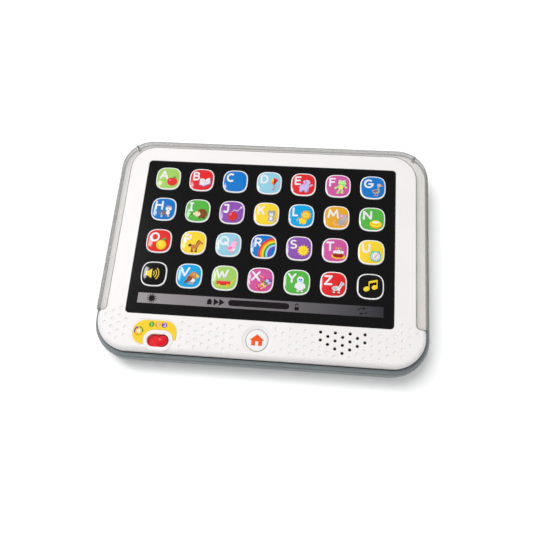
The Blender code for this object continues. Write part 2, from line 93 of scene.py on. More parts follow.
def mouldedPlastic(name, color, roughness, grain=900, bump=0.02, mottle=0.03, coat=0.0, sss=0.0):
    # injection-moulded plastic: faint cloudiness in the colour, uneven gloss and a fine surface grain
    mat, nodes, links, shader = newMaterial(name)
    setInputs(shader, Coat_Weight=coat, Coat_Roughness=mould["coatRoughness"])
    if sss:
        setInputs(shader, Subsurface_Weight=sss, Subsurface_Scale=mould["glowDepth"])
    place = nodes.new("ShaderNodeTexCoord")
    cloud = addNoise(nodes, links, place, Scale=mould["cloud"], Detail=mould["cloudDetail"])
    fine = addNoise(nodes, links, place, Scale=grain, Detail=mould["grainDetail"])
    darker, lighter = (tuple(min(c * k, 1) for c in color[:3]) + (1.0,) for k in (1 - mottle, 1 + mottle))
    mixColors(nodes, links, cloud.outputs["Fac"], darker, lighter, shader.inputs["Base Color"])
    unevenGloss(nodes, links, shader, cloud, roughness, mould["glossSpread"])
    relief = setInputs(nodes.new("ShaderNodeBump"), Strength=mould["relief"], Distance=bump * mm)
    links.new(fine.outputs["Fac"], relief.inputs["Height"])
    links.new(relief.outputs["Normal"], shader.inputs["Normal"])
    return mat


plastics = {
    "whiteShell": dict(color=paint("dbd8d7"), roughness=0.34, sss=0.05),
    "greyShell": dict(color=paint("6b7376"), roughness=0.42, bump=0.03),
    "darkGrey": dict(color=paint("3a3f42"), roughness=0.45),
    "blackPanel": dict(color=paint("100f10"), roughness=0.16, bump=0.003),
    "labelYellow": dict(color=paint("dcb80a"), roughness=0.3),
    "sliderRed": dict(color=paint("d0111f"), roughness=0.2, coat=0.5),
    "footRubber": dict(color=paint("26282a"), roughness=0.8, grain=1500, bump=0.05),
    "keyWhite": dict(color=paint("e6e4e6"), roughness=0.16, coat=0.5),
}
mats = {name: mouldedPlastic(name, **look) for name, look in plastics.items()}

clearLooks = {
    "clearPlastic": {"tint": paint("dedad4"), "roughness": 0.1, "alpha": 0.15},
    # the edge look is painted shade: a darker, less clear copy of the clear plastic for the rim's cut sides
    "clearEdgeShade": {"tint": paint("7d8280"), "roughness": 0.2, "alpha": 0.65},
}
haze = {"scale": 60, "spread": 0.5}


def clearPlastic(name, tint, roughness, alpha):
    mat, nodes, links, shader = newMaterial(name)
    setInputs(shader, Base_Color=tint, Alpha=alpha)
    cloud = addNoise(nodes, links, nodes.new("ShaderNodeTexCoord"), Scale=haze["scale"])
    unevenGloss(nodes, links, shader, cloud, roughness, haze["spread"])
    return mat


for name, look in clearLooks.items():
    mats[name] = clearPlastic(name, **look)
print("materials ready")


# shared modelling helpers

def outlineFace(bm, corners, z, steps=12):
    # a flat face through (x, y, radius) corners in mm, each corner rounded
    verts = [bm.verts.new((x * mm, y * mm, z * mm)) for x, y, _ in corners]
    bm.faces.new(verts)
    for vert, (_, _, radius) in zip(verts, corners):
        if radius > 0:
            bmesh.ops.bevel(bm, geom=[vert], offset=radius * mm, offset_type="OFFSET", segments=steps,
                            profile=0.5, affect="VERTICES", material=-1, clamp_overlap=False)


def boxCorners(halfX, low, high, lowRadius, highRadius=None, middle=0.0):
    highRadius = lowRadius if highRadius is None else highRadius
    return [(middle - halfX, low, lowRadius), (middle + halfX, low, lowRadius),
            (middle + halfX, high, highRadius), (middle - halfX, high, highRadius)]


def loft(bm, levels, steps=12):
    # bridges one outline after another, bottom to top, and keeps only the end caps
    rings, caps = [], []
    for z, corners in levels:
        oldEdges, oldFaces = set(bm.edges), set(bm.faces)
        outlineFace(bm, corners, z, steps)
        rings.append([e for e in bm.edges if e not in oldEdges])
        caps.append([f for f in bm.faces if f not in oldFaces])
    for lower, upper in zip(rings, rings[1:]):
        bmesh.ops.bridge_loops(bm, edges=lower + upper)
    for cap in caps[1:-1]:
        bmesh.ops.delete(bm, geom=cap, context="FACES_ONLY")
    return bm


def slab(corners, low, high, steps=12):
    return loft(bmesh.new(), [(low, corners), (high, corners)], steps)


def turned(profile, x=0.0, y=0.0, sides=48):
    # spins (radius, z) points in mm about the vertical through x, y
    bm = bmesh.new()
    verts = [bm.verts.new((r * mm, 0, z * mm)) for r, z in profile]
    edges = [bm.edges.new(pair) for pair in zip(verts, verts[1:])]
    bmesh.ops.spin(bm, geom=verts + edges, cent=(0, 0, 0), axis=(0, 0, 1), angle=math.tau,
                   steps=sides, use_merge=True)
    bmesh.ops.remove_doubles(bm, verts=bm.verts, dist=1e-6)
    bmesh.ops.translate(bm, vec=(x * mm, y * mm, 0), verts=bm.verts)
    return bm


def addTo(bm, other):
    # moves the other bmesh's geometry into bm
    mesh = bpy.data.meshes.new("passing")
    bmesh.ops.recalc_face_normals(other, faces=other.faces)
    other.to_mesh(mesh)
    other.free()
    bm.from_mesh(mesh)
    bpy.data.meshes.remove(mesh)
    return bm


def cylinders(places, radius, low, high, sides=20):
    bm = bmesh.new()
    for x, y in places:
        made = bmesh.ops.create_cone(bm, cap_ends=True, segments=sides, radius1=radius * mm,
                                     radius2=radius * mm, depth=(high - low) * mm)
        bmesh.ops.translate(bm, vec=(x * mm, y * mm, (low + high) / 2 * mm), verts=made["verts"])
    return bm


def block(low, high):
    bm = bmesh.new()
    made = bmesh.ops.create_cube(bm, size=mm)
    size = Vector(high) - Vector(low)
    bmesh.ops.scale(bm, vec=size, verts=made["verts"])
    bmesh.ops.translate(bm, vec=(Vector(low) + size / 2) * mm, verts=made["verts"])
    return bm


def rawObject(name, bm, materials=()):
    bmesh.ops.recalc_face_normals(bm, faces=bm.faces)
    mesh = bpy.data.meshes.new(name)
    bm.to_mesh(mesh)
    bm.free()
    for mat in materials:
        mesh.materials.append(mat)
    obj = bpy.data.objects.new(name, mesh)
    scene.collection.objects.link(obj)
    return obj


def carve(obj, bm, operation="DIFFERENCE"):
    # cuts the bmesh out of the object, or joins it on, and keeps the result
    tool = rawObject(obj.name + "Tool", bm)
    step = obj.modifiers.new("carve", "BOOLEAN")
    step.operation = operation
    step.object = tool
    bakeModifiers(obj)
    bpy.data.objects.remove(tool)


def join(obj, bm):
    carve(obj, bm, "UNION")


def bakeModifiers(obj):  # turns what the modifiers make into the mesh
    graph = bpy.context.evaluated_depsgraph_get()
    graph.update()
    old = obj.data
    fresh = bpy.data.meshes.new_from_object(obj.evaluated_get(graph), depsgraph=graph)
    obj.modifiers.clear()
    obj.data = fresh
    fresh.name = obj.name
    bpy.data.meshes.remove(old)


def finishPiece(obj, body, slot, *replaced, sharp=32):
    # smooth faces with crisp edges, then the body it rides on and the node that it stands for
    obj.data.shade_smooth()
    obj.data.set_sharp_from_angle(angle=math.radians(sharp))
    weigh = obj.modifiers.new("weigh", "WEIGHTED_NORMAL")
    weigh.keep_sharp = True
    weigh.weight = 80
    bakeModifiers(obj)
    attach(obj, body)
    if replaced:
        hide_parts(*replaced)


# camera, floor and light

view = {"place": (0.0404, -0.1688, 0.4529), "turn": (20.0, 3.419, 4.7), "lens": 40.86, "sensor": 36,
        "near": 0.01}


def makeCamera():
    data = bpy.data.cameras.new("camera")
    data.lens, data.sensor_width = view["lens"], view["sensor"]
    data.clip_start = view["near"]
    camera = bpy.data.objects.new("camera", data)
    camera.location = view["place"]
    camera.rotation_euler = [math.radians(a) for a in view["turn"]]
    scene.collection.objects.link(camera)
    scene.camera = camera


studio = {
    "floorColor": (0.95, 0.95, 0.95), "floorHalf": 4.0, "floorRoughness": 0.9,
    "horizon": {"at": 0.5, "bright": 0.42},
    "ceiling": {"at": 0.82, "bright": 0.08},
    "overhead": {"place": (-0.42, 0.42, 1.5), "size": 1.0, "power": 21, "mirrored": False},
    "fill": {"place": (0.5, -0.7, 1.5), "size": 1.4, "power": 12, "mirrored": False},
    "softbox": {"place": (-0.72, 0.4, 1.04), "size": 0.3, "power": 2.6, "mirrored": True},
}


def makeStudio():
    bm = bmesh.new()
    bmesh.ops.create_grid(bm, x_segments=1, y_segments=1, size=studio["floorHalf"])
    floor = rawObject("floor", bm)
    if floor.data.polygons[0].normal.z < 0:
        floor.data.flip_normals()
    paper, _, _, shader = newMaterial("paper")
    setInputs(shader, Roughness=studio["floorRoughness"], Base_Color=(*studio["floorColor"], 1))
    floor.data.materials.append(paper)
    for name in ("overhead", "fill", "softbox"):
        lamp = studio[name]
        data = bpy.data.lights.new(name, "AREA")
        data.shape, data.size, data.energy = "SQUARE", lamp["size"], lamp["power"]
        light = bpy.data.objects.new(name, data)
        light.location = lamp["place"]
        light.rotation_euler = (-Vector(lamp["place"])).to_track_quat("-Z", "Y").to_euler()
        light.visible_glossy = lamp["mirrored"]
        scene.collection.objects.link(light)
    world = bpy.data.worlds.new("studio")
    scene.world = world
    world.use_nodes = True
    nodes, links = world.node_tree.nodes, world.node_tree.links
    place = nodes.new("ShaderNodeTexCoord")
    split = nodes.new("ShaderNodeSeparateXYZ")
    ramp = nodes.new("ShaderNodeValToRGB")
    for element, name in zip(ramp.color_ramp.elements, ("horizon", "ceiling")):
        element.position = studio[name]["at"]
        element.color = (studio[name]["bright"],) * 3 + (1,)
    links.new(place.outputs["Generated"], split.inputs["Vector"])
    links.new(split.outputs["Z"], ramp.inputs["Fac"])
    links.new(ramp.outputs["Color"], nodes["Background"].inputs["Color"])
    scene.view_settings.view_transform = "Standard"


makeCamera()
makeStudio()
print("camera and studio ready")


# white front shell

face = {"middle": -0.6, "half": 113.7, "top": 82.0, "radius": 19.5, "high": 27.0, "edge": 0.9}
band = {"half": 120.6, "low": -86.0, "radius": 24.0, "rollWide": 3.6, "rollHigh": 4.4, "foot": 20.0}
shoulder = {"y": -57.3, "radius": 2.5, "cove": 3.5}
screws = {"x": 103.0, "y": 66.0, "radius": 1.5, "head": 2.8, "seat": 6.0, "pitch": 0.6, "slot": (2.9, 0.7),
          "slotDeep": 0.45}
slot = {"x": -72.1, "y": -77.85, "long": 16.4, "wide": 9.5}
home = {"y": -72.75, "dish": 11.25, "button": 8.0, "top": 27.1, "crown": 0.0085}
grille = {"x": 61.15, "top": -63.6, "stepX": 5.28, "stepY": 2.91, "radius": 1.2, "rows": (4, 3, 4, 3, 2, 1)}
dimples = {"radius": 1.35, "deep": 0.7, "x": 61.15, "stepX": 5.3, "edge": 4.6, "cornerGap": 6.0,
           "homeGap": 2.5, "holeGap": 3.0, "sideHalf": 117, "sideTop": -52.5, "frontHalf": 101,
           "frontTop": -61.5, "labelFrom": -96.5, "labelTo": -56.5}
label = {"left": -91.9, "right": -59.2, "low": -81.0, "top": -62.95, "tip": -76.9, "stemRight": -82.5,
         "armLow": -69.75, "tipLeft": -61.7, "high": 26.65}
screenLow, screenHigh = (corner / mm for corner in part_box("screen_panel"))
screen = {"x": (screenLow.x + screenHigh.x) / 2, "half": (screenHigh.x - screenLow.x) / 2}


def faceCorners(edge, bandEdge):
    half, wide = face["half"] - edge, band["half"] - bandEdge
    low, top, y = band["low"] + bandEdge, face["top"] - edge, shoulder["y"] - edge
    lowRadius, topRadius = band["radius"] - bandEdge, face["radius"] - edge
    left, right = face["middle"] - half, face["middle"] + half
    return [(-wide, low, lowRadius), (wide, low, lowRadius), (wide, y, shoulder["radius"]),
            (right, y, shoulder["cove"]), (right, top, topRadius), (left, top, topRadius),
            (left, y, shoulder["cove"]), (-wide, y, shoulder["radius"])]


def faceLevels(count=10):
    levels = [(band["foot"], faceCorners(0, 0))]
    for i in range(count + 1):
        a = math.pi / 2 * i / count
        z = face["high"] - band["rollHigh"] * (1 - math.sin(a))
        over = max(z - face["high"] + face["edge"], 0) / face["edge"]
        edge = face["edge"] * (1 - math.sqrt(max(1 - over * over, 0)))
        levels.append((z, faceCorners(edge, band["rollWide"] * (1 - math.cos(a)))))
    return levels


def speakerHoles():
    return [(grille["x"] + (2 * i - count + 1) * grille["stepX"], grille["top"] - row * grille["stepY"])
            for row, count in enumerate(grille["rows"]) for i in range(count)]


def dimplePlaces():
    # the speaker's own staggered grid carried on over the band, mirrored left of the home button
    places = []
    for column in range(-36, 12):
        x = dimples["x"] + column * dimples["stepX"]
        lower = column % 2 == (x < 0)
        places += [(x, grille["top"] - (2 * row + lower) * grille["stepY"]) for row in range(-2, 7)]
    holes = speakerHoles()
    return [place for place in places if dimpleFits(*place, holes)]


def dimpleFits(x, y, taken):
    side, low = abs(x), band["low"] + dimples["edge"]
    if y < low or y > dimples["sideTop"] or side > dimples["sideHalf"]:
        return False
    if side < dimples["frontHalf"] and y > dimples["frontTop"]:
        return False
    cornerX, cornerY = band["half"] - band["radius"], band["low"] + band["radius"]
    inCorner = side > cornerX and y < cornerY
    if inCorner and math.hypot(side - cornerX, y - cornerY) > band["radius"] - dimples["cornerGap"]:
        return False
    if math.hypot(x, y - home["y"]) < home["dish"] + dimples["homeGap"]:
        return False
    if dimples["labelFrom"] < x < dimples["labelTo"]:
        return False
    return all(math.hypot(x - a, y - b) > dimples["holeGap"] for a, b in taken)


def labelCorners(grow=0.0, left=0.0):
    west, top = label["left"] - grow - left, label["top"] + grow + left * 0.5
    low, tip, arm = label["low"] - grow, label["tip"] - grow, label["armLow"] - grow
    right, tipLeft, stem = label["right"] + grow, label["tipLeft"] - grow, label["stemRight"] + grow
    return [(west, low, 8.2), (west, top, 9.5), (right, top, 8.5), (right, tip, 0.8),
            (tipLeft, tip, 0.8), (tipLeft, arm, 7.0), (stem, arm, 7.0), (stem, low, 0.8)]


def stadium(grow=0.0):
    half, wide = slot["long"] / 2 + grow, slot["wide"] / 2 + grow
    return boxCorners(half, slot["y"] - wide, slot["y"] + wide, wide - 0.01, middle=slot["x"])


def frontShell():
    shell = rawObject("frontShell", loft(bmesh.new(), faceLevels()), [mats["whiteShell"]])
    join(shell, slab(boxCorners(band["half"], -62.0, 86.35, 2.0, 22.2), 20.1, 21.5))
    inner = [(19.0, faceCorners(2.2, 2.2)), (22.4, faceCorners(2.2, 2.4)), (24.4, faceCorners(2.2, 3.0))]
    carve(shell, loft(bmesh.new(), inner))
    gap = 0.25
    pocket = boxCorners(screen["half"] + gap, screenLow.y - gap, screenHigh.y + gap, 3.0, middle=screen["x"])
    carve(shell, slab(pocket, screenLow.z - 0.3, 28))
    window = boxCorners(screen["half"] - 2.8, screenLow.y + 2.8, screenHigh.y - 2.8, 2.0, middle=screen["x"])
    carve(shell, slab(window, 20, 27))
    for side in (-1, 1):
        carve(shell, cornerBlock(19, 23, side, 0.5))
        for end in (-1, 1):
            place = [(side * screws["x"], end * screws["y"])]
            join(shell, cylinders(place, 3.8, 19.3, 25.0))
            carve(shell, cylinders(place, 1.8, 18.0, 24.2))
    carve(shell, loft(bmesh.new(), [(26.35, labelCorners(0.25)), (26.6, labelCorners(0.35, 0.3)),
                                    (27.05, labelCorners(0.6, 2.4))], steps=8))
    bead = [(26.5, stadium(3.0)), (27.1, stadium(2.9)), (27.5, stadium(2.2)), (27.6, stadium(1.5)),
            (27.5, stadium(0.8)), (27.2, stadium(0.4))]
    join(shell, loft(bmesh.new(), bead))
    carve(shell, slab(stadium(), 20, 28))
    dish = [(0, 28), (home["dish"] + 0.9, 28), (home["dish"], 27.0), (home["dish"] - 0.8, 26.45),
            (home["button"] + 1.6, 26.1), (home["button"] + 0.7, 25.95), (home["button"] + 0.3, 25.7),
            (home["button"] + 0.3, 23), (0, 23)]
    carve(shell, turned(dish, 0, home["y"]))
    carve(shell, cylinders(speakerHoles(), grille["radius"], 23, 28, sides=20))
    cups = bmesh.new()
    radius, deep = dimples["radius"], dimples["deep"]
    cup = [(0, 27.3), (radius * 1.25, 27.3), (radius, 27.0), (radius * 0.72, 27 - deep * 0.6),
           (radius * 0.36, 27 - deep * 0.92), (0, 27 - deep)]
    for x, y in dimplePlaces():
        addTo(cups, turned(cup, x, y, sides=14))
    carve(shell, cups)
    finishPiece(shell, "housing", "white_shell", "front_shell", sharp=40)


rim = {"half": 122.3, "top": 88.15, "radius": 24.0, "high": 26.6, "wall": 1.4, "foot": 20.0}
lug = {"angle": 53, "wide": 2.0, "reach": 2.2, "beyond": -0.3, "high": 26.3}


def cornerBlock(low, high, side, grow):
    # a block along the radius of the rim's top corner, for the lug or the notch round it
    bm = block((0, -lug["wide"] / 2 - grow, low), (lug["reach"] + 2 * grow, lug["wide"] / 2 + grow, high))
    reach = rim["radius"] + lug["beyond"] - lug["reach"] - grow
    angle = math.radians(lug["angle"] if side > 0 else 180 - lug["angle"])
    corner = Vector((side * (rim["half"] - rim["radius"]), rim["top"] - rim["radius"], 0)) * mm
    bmesh.ops.translate(bm, vec=(reach * mm, 0, 0), verts=bm.verts)
    bmesh.ops.rotate(bm, cent=(0, 0, 0), matrix=Matrix.Rotation(angle, 3, "Z"), verts=bm.verts)
    bmesh.ops.translate(bm, vec=corner, verts=bm.verts)
    return bm


frontShell()
print("front shell ready")


# clear rim

def rimCorners(edge, inner=None, end=None, chamfer=0.0):
    half, top, radius = rim["half"] - edge, rim["top"] - edge, rim["radius"] - edge
    inner = face["half"] + 0.3 + chamfer if inner is None else inner
    end = shoulder["y"] + 0.3 if end is None else end
    innerTop, innerRadius = face["top"] + inner - face["half"], face["radius"] + inner - face["half"]
    cove = max(shoulder["cove"] - 0.3, 0.1)
    left, right = face["middle"] - inner, face["middle"] + inner
    return [(-half, end, 0.6), (left, end, cove), (left, innerTop, innerRadius),
            (right, innerTop, innerRadius), (right, end, cove), (half, end, 0.6), (half, top, radius),
            (-half, top, radius)]


def clearRim():
    levels = [(rim["foot"], rimCorners(0)), (25.0, rimCorners(0)), (25.7, rimCorners(0.2)),
              (26.2, rimCorners(0.7)), (26.5, rimCorners(1.5, chamfer=0.1)),
              (rim["high"], rimCorners(2.6, chamfer=0.45))]
    bm = loft(bmesh.new(), levels, steps=14)
    for f in bm.faces:  # the cut sides get a darker, less clear copy of the plastic: painted shade that draws dark lines along the rim's edges
        f.material_index = int(f.calc_area() < 1e-3 and f.calc_center_median().z < 26.55 * mm)
    piece = rawObject("clearRim", bm, [mats["clearPlastic"], mats["clearEdgeShade"]])
    wall, end = rim["wall"], shoulder["y"] + 0.3
    under = face["half"] - 1.0
    carve(piece, slab(rimCorners(wall, under, end + wall), 21.9, 25.1))
    carve(piece, slab(rimCorners(wall, under, end - 6), 19.0, 22.0))
    for side in (-1, 1):
        carve(piece, cornerBlock(19, 28, side, 0.3))
    finishPiece(piece, "housing", "clear_plastic", "clear_rim", sharp=40)


# grey rear shell, its door, feet and screws

rear = {"half": 124.3, "deep": 90.0, "low": 1.0, "high": 19.6, "lowRadius": 28, "highRadius": 26,
        "roll": 9.0, "wide": 11.0, "shoulder": 15.0, "lip": 1.3}
bay = {"y": 12.0, "halfX": 29.5, "halfY": 23.0, "roof": 18.2, "wall": 1.5, "margin": 3.4, "tabRadius": 6.5,
       "grips": 5, "gripStep": 2.6}
bay["tabY"] = bay["y"] - bay["halfY"] - 7.0
power = {"y": 62.0, "travel": 8.0}
feet = {"x": 84.0, "y": 64.0, "radius": 6.0, "high": 1.5}


def rearCorners(inset):
    return boxCorners(rear["half"] - inset, -rear["deep"] + inset, rear["deep"] - inset,
                      rear["lowRadius"] - inset, rear["highRadius"] - inset)


def rearLevels(count=12):
    levels = []
    for i in range(count + 1):
        a = math.pi / 2 * (1 - i / count)
        z = rear["wide"] - (rear["wide"] - rear["low"]) * math.sin(a)
        levels.append((z, rearCorners(rear["roll"] * (1 - math.cos(a)))))
    for i in range(5):
        share = i / 4
        z = rear["shoulder"] + (rear["high"] - rear["shoulder"]) * share
        levels.append((z, rearCorners(rear["lip"] * share * share)))
    return levels


def corners4(x, y):
    return [(sx * x, sy * y) for sy in (1, -1) for sx in (-1, 1)]


def wellCorners(length, width, y, middle=0.0):
    return boxCorners(length / 2, y - width / 2, y + width / 2, width / 2 - 0.01, middle=middle)


def rearShell():
    shell = rawObject("rearShell", loft(bmesh.new(), rearLevels(), steps=14), [mats["greyShell"]])
    hollow = [(3.2, 11.2), (4.6, 6.6), (8, 3.1), (12, 2.2), (20.6, 3.6)]
    carve(shell, loft(bmesh.new(), [(z, rearCorners(e)) for z, e in hollow]))
    cutRing = rawObject("groove", slab(rearCorners(-2), 17.7, 18.3))
    carve(cutRing, slab(rearCorners(0.75), 17, 19))
    tool = bmesh.new()
    tool.from_mesh(cutRing.data)
    bpy.data.objects.remove(cutRing)
    carve(shell, tool)
    for side in (-1, 1):
        join(shell, cornerBlock(rear["high"] - 1.5, lug["high"], side, 0))
    join(shell, slab(bayCorners(bay["wall"], 1.5), 2.2, bay["roof"] + bay["wall"]))
    join(shell, slab(bayCorners(bay["margin"] + 3.1, 4), 2.3, 5.0))
    tab = [(0, bay["tabY"])]
    join(shell, cylinders(tab, bay["tabRadius"] + 2.5, 2.4, 5.2, 48))
    join(shell, cylinders(tab, 4.0, 2.5, 12.0, 32))
    carve(shell, slab(bayCorners(0, 1), 0, bay["roof"]))
    carve(shell, slab(doorCorners(0.3), 0, 3.3))
    carve(shell, cylinders(tab, bay["tabRadius"] + 0.3, 0.1, 3.2, 48))
    carve(shell, cylinders(tab, 1.8, 0.2, 10.8, 24))
    carve(shell, loft(bmesh.new(), [(0.5, wellCorners(28.4, 15.4, power["y"])),
                                    (2.0, wellCorners(25.4, 12.4, power["y"]))]))
    carve(shell, slab(wellCorners(14.6, 5, power["y"]), 0.1, 4.0))
    places = corners4(screws["x"], screws["y"])
    join(shell, cylinders(places, 5.0, 2.6, 18.9, 32))
    carve(shell, cylinders(places, 3.3, 0.0, screws["seat"], 32))
    carve(shell, cylinders(places, 1.9, 1.0, 20.0, 20))
    carve(shell, cylinders(corners4(feet["x"], feet["y"]), feet["radius"] + 0.3, 0.0, 1.8, 48))
    finishPiece(shell, "housing", "grey_shell", "rear_shell", sharp=40)


def bayCorners(grow, radius):
    low, high = bay["y"] - bay["halfY"] - grow, bay["y"] + bay["halfY"] + grow
    return boxCorners(bay["halfX"] + grow, low, high, radius)


def doorCorners(grow=0.0):
    return bayCorners(bay["margin"] + grow, 3 + grow)


def batteryDoor():
    levels = [(1.0, doorCorners(-0.3)), (1.3, doorCorners()), (3.0, doorCorners())]
    door = rawObject("batteryDoor", loft(bmesh.new(), levels), [mats["greyShell"]])
    tab = [(0, bay["tabY"])]
    join(door, cylinders(tab, bay["tabRadius"], 1.02, 2.9, 48))
    carve(door, cylinders(tab, screws["head"] + 0.3, 0.0, 2.0, 32))
    carve(door, cylinders(tab, screws["radius"] + 0.3, 0.5, 4.0, 24))
    join(door, slab(bayCorners(-1.5, 1), 2.0, 3.7))
    for i in range(bay["grips"]):  # grip grooves beside the far edge
        y = bay["y"] + bay["halfY"] - 3 - bay["gripStep"] * i
        carve(door, slab(wellCorners(26 - 3 * i, 1.3, y), 0.0, 1.5, steps=6))
    finishPiece(door, "battery_door_body", "grey_shell", "battery_door")
    screwPiece("batteryDoorScrew", (0, bay["tabY"]), 1.05, 1.7, 10.2, "battery_door_body",
               "battery_door_screw")


def screwPiece(name, place, headLow, seatHigh, tip, body, node):
    radius, head, pitch = screws["radius"], screws["head"], screws["pitch"]
    profile = [(0, tip), (0.4, tip)]
    turns = int((tip - 1.4 - seatHigh - pitch) / pitch)
    for i in range(turns):  # thread ridges
        z = tip - 1.2 - i * pitch
        profile += [(radius, z), (radius - 0.3, z - 0.3)]
    profile += [(radius - 0.2, seatHigh), (head, seatHigh), (head, headLow + 0.25), (head - 0.3, headLow),
                (0, headLow)]
    piece = rawObject(name, turned(profile, *place, sides=24), [mats["plated"]])
    x, y = place
    for long, wide in (screws["slot"], screws["slot"][::-1]):
        low, high = headLow - 1, headLow + screws["slotDeep"]
        carve(piece, block((x - long / 2, y - wide / 2, low), (x + long / 2, y + wide / 2, high)))
    finishPiece(piece, body, "steel", node)


def smallBackParts():
    for i, place in enumerate(corners4(screws["x"], screws["y"]), 1):
        seat = screws["seat"] - 0.3
        screwPiece(f"caseScrew{i}", place, seat - 2.0, seat, 23.4, "housing", f"case_screw_{i}")
    for i, place in enumerate(corners4(feet["x"], feet["y"]), 1):
        radius, high = feet["radius"], feet["high"]
        profile = [(0, high), (radius, high), (radius, 0.5), (radius - 0.2, 0.15), (radius - 0.6, 0.0),
                   (radius - 1.6, 0.0), (radius - 1.9, 0.25), (0, 0.25)]
        foot = rawObject(f"rubberFoot{i}", turned(profile, *place), [mats["footRubber"]])
        finishPiece(foot, "housing", "foot_rubber", f"rubber_foot_{i}")
    middle, y = -power["travel"] / 2, power["y"]
    plate = block((middle - 7.5, y - 4, 3.5), (middle + 14.5, y + 4, 4.7))
    knob = rawObject("powerSlider", plate, [mats["darkGrey"]])
    levels = [(0.8, wellCorners(4.8, 3.6, y, middle)), (1.1, wellCorners(5.4, 4.2, y, middle)),
              (4.0, wellCorners(5.4, 4.2, y, middle))]
    join(knob, loft(bmesh.new(), levels))
    for i in (-1, 0, 1):
        carve(knob, block((middle + i * 1.3 - 0.3, y - 3, 0), (middle + i * 1.3 + 0.3, y + 3, 1.15)))
    finishPiece(knob, "power_slider_body", "dark_grey", "power_slider")


# black screen panel

keyShape = {"half": 9.85, "power": 3.0, "border": 0.86, "edgeZ": 27.15, "rise": 1.35, "pitch": 27.0,
            "gridY": 13.25, "sides": 64}


def superRing(bm, half, z, x, y):  # a filled square with rounded sides
    made = bmesh.ops.create_circle(bm, cap_ends=True, segments=keyShape["sides"], radius=1.0)
    for vert in made["verts"]:
        reach = superNorm(vert.co.x, vert.co.y)
        vert.co = Vector(((x + half * vert.co.x / reach) * mm, (y + half * vert.co.y / reach) * mm, z * mm))
    return made["verts"]


def superNorm(x, y):
    n = keyShape["power"]
    return (abs(x) ** n + abs(y) ** n) ** (1 / n)


def keyPlaces():
    rows = ("abcdefg", "hijklmn", "opqrstu", ("sound", "v", "w", "x", "y", "z", "music"))
    pitch = keyShape["pitch"]
    for row, names in enumerate(rows):
        for column, name in enumerate(names):
            yield name, screen["x"] + (column - 3) * pitch, keyShape["gridY"] + (1.5 - row) * pitch


def screenPanel():
    low, high = screenLow, screenHigh
    half, x = screen["half"], screen["x"]
    flat = [(low.z, boxCorners(half, low.y, high.y, 2.8, middle=x)),
            (high.z - 0.2, boxCorners(half, low.y, high.y, 2.8, middle=x)),
            (high.z, boxCorners(half - 0.2, low.y + 0.2, high.y - 0.2, 2.6, middle=x))]
    panel = rawObject("screenPanel", loft(bmesh.new(), flat), [mats["blackPanel"]])
    holes = bmesh.new()
    for _, x, y in keyPlaces():
        lower = superRing(holes, keyShape["half"] + 0.25, low.z - 1, x, y)
        cap = lower[0].link_faces[0]
        made = bmesh.ops.extrude_face_region(holes, geom=[cap])
        upper = [v for v in made["geom"] if isinstance(v, bmesh.types.BMVert)]
        bmesh.ops.translate(holes, vec=(0, 0, 4 * mm), verts=upper)
    carve(panel, holes)
    finishPiece(panel, "housing", "black_panel", "screen_panel", sharp=40)


# keys

keyColors = {"red": "cc2426", "green": "4ea43f", "lime": "94bd5a", "blue": "106cb8", "sky": "86bacc",
             "cyan": "0c94cb", "pink": "bc5090", "purple": "804a9e", "yellow": "e0c22e", "orange": "d39a24",
             "orangeRed": "cc2a26", "black": "111011"}
keyLook = {
    "a": "lime", "b": "red", "c": "blue", "d": "sky", "e": "red", "f": "pink", "g": "blue", "h": "blue",
    "i": "green", "j": "purple", "k": "yellow", "l": "cyan", "m": "orange", "n": "green", "o": "orangeRed",
    "p": "yellow", "q": "sky", "r": "blue", "s": "purple", "t": "pink", "u": "yellow", "sound": "black",
    "v": "cyan", "w": "lime", "x": "pink", "y": "green", "z": "red", "music": "black",
}
keyMats = {name: mouldedPlastic("key" + name.capitalize(), paint(code), 0.14, bump=0.004, coat=0.6)
           for name, code in keyColors.items()}


def keySlot(name):
    return {"cyan": "key_blue", "orangeRed": "key_red"}.get(name, "key_" + name)


def pillow(x, y):
    share = min(superNorm(x, y) / keyShape["half"], 1.0)
    return keyShape["edgeZ"] + keyShape["rise"] * (1 - share ** 3.4) ** 0.75


def keyCap(name, x, y):
    bm = bmesh.new()
    half, border = keyShape["half"], keyShape["border"]
    levels = [(24.2, half + 1.0), (25.2, half + 1.0), (25.2, half), (keyShape["edgeZ"] - 0.4, half)]
    shares = [0.995, 0.985, 0.97, 0.955, 0.935, 1 - border / half, 0.88, 0.84, 0.78, 0.7, 0.6, 0.48, 0.35,
              0.2, 0.08]
    levels += [(pillow(half * share, 0), half * share) for share in shares]
    verts = superRing(bm, levels[0][1], levels[0][0], x, y)
    cap = verts[0].link_faces[0]
    for (_, before), (z, size) in zip(levels, levels[1:]):
        made = bmesh.ops.extrude_face_region(bm, geom=[cap])
        cap = next(f for f in made["geom"] if isinstance(f, bmesh.types.BMFace))
        verts = [v for v in made["geom"] if isinstance(v, bmesh.types.BMVert)]
        for vert in verts:
            vert.co.x = x * mm + (vert.co.x - x * mm) * size / before
            vert.co.y = y * mm + (vert.co.y - y * mm) * size / before
            vert.co.z = z * mm
    inner = half - border + 0.05
    for f in bm.faces:
        middle = f.calc_center_median() / mm
        onTop = middle.z > keyShape["edgeZ"]
        f.material_index = int(onTop and superNorm(middle.x - x, middle.y - y) < inner)
    color = keyLook[name]
    cap = rawObject(f"keyCap_{name}", bm, [mats["keyWhite"], keyMats[color]])
    finishPiece(cap, f"key_{name}_body", keySlot(color), f"key_{name}", sharp=50)


def platedMetal():
    mat = mouldedPlastic("plated", (0.62, 0.6, 0.58, 1), 0.3, grain=3000, bump=0.01)
    setInputs(mat.node_tree.nodes["Principled BSDF"], Metallic=1.0)
    return mat


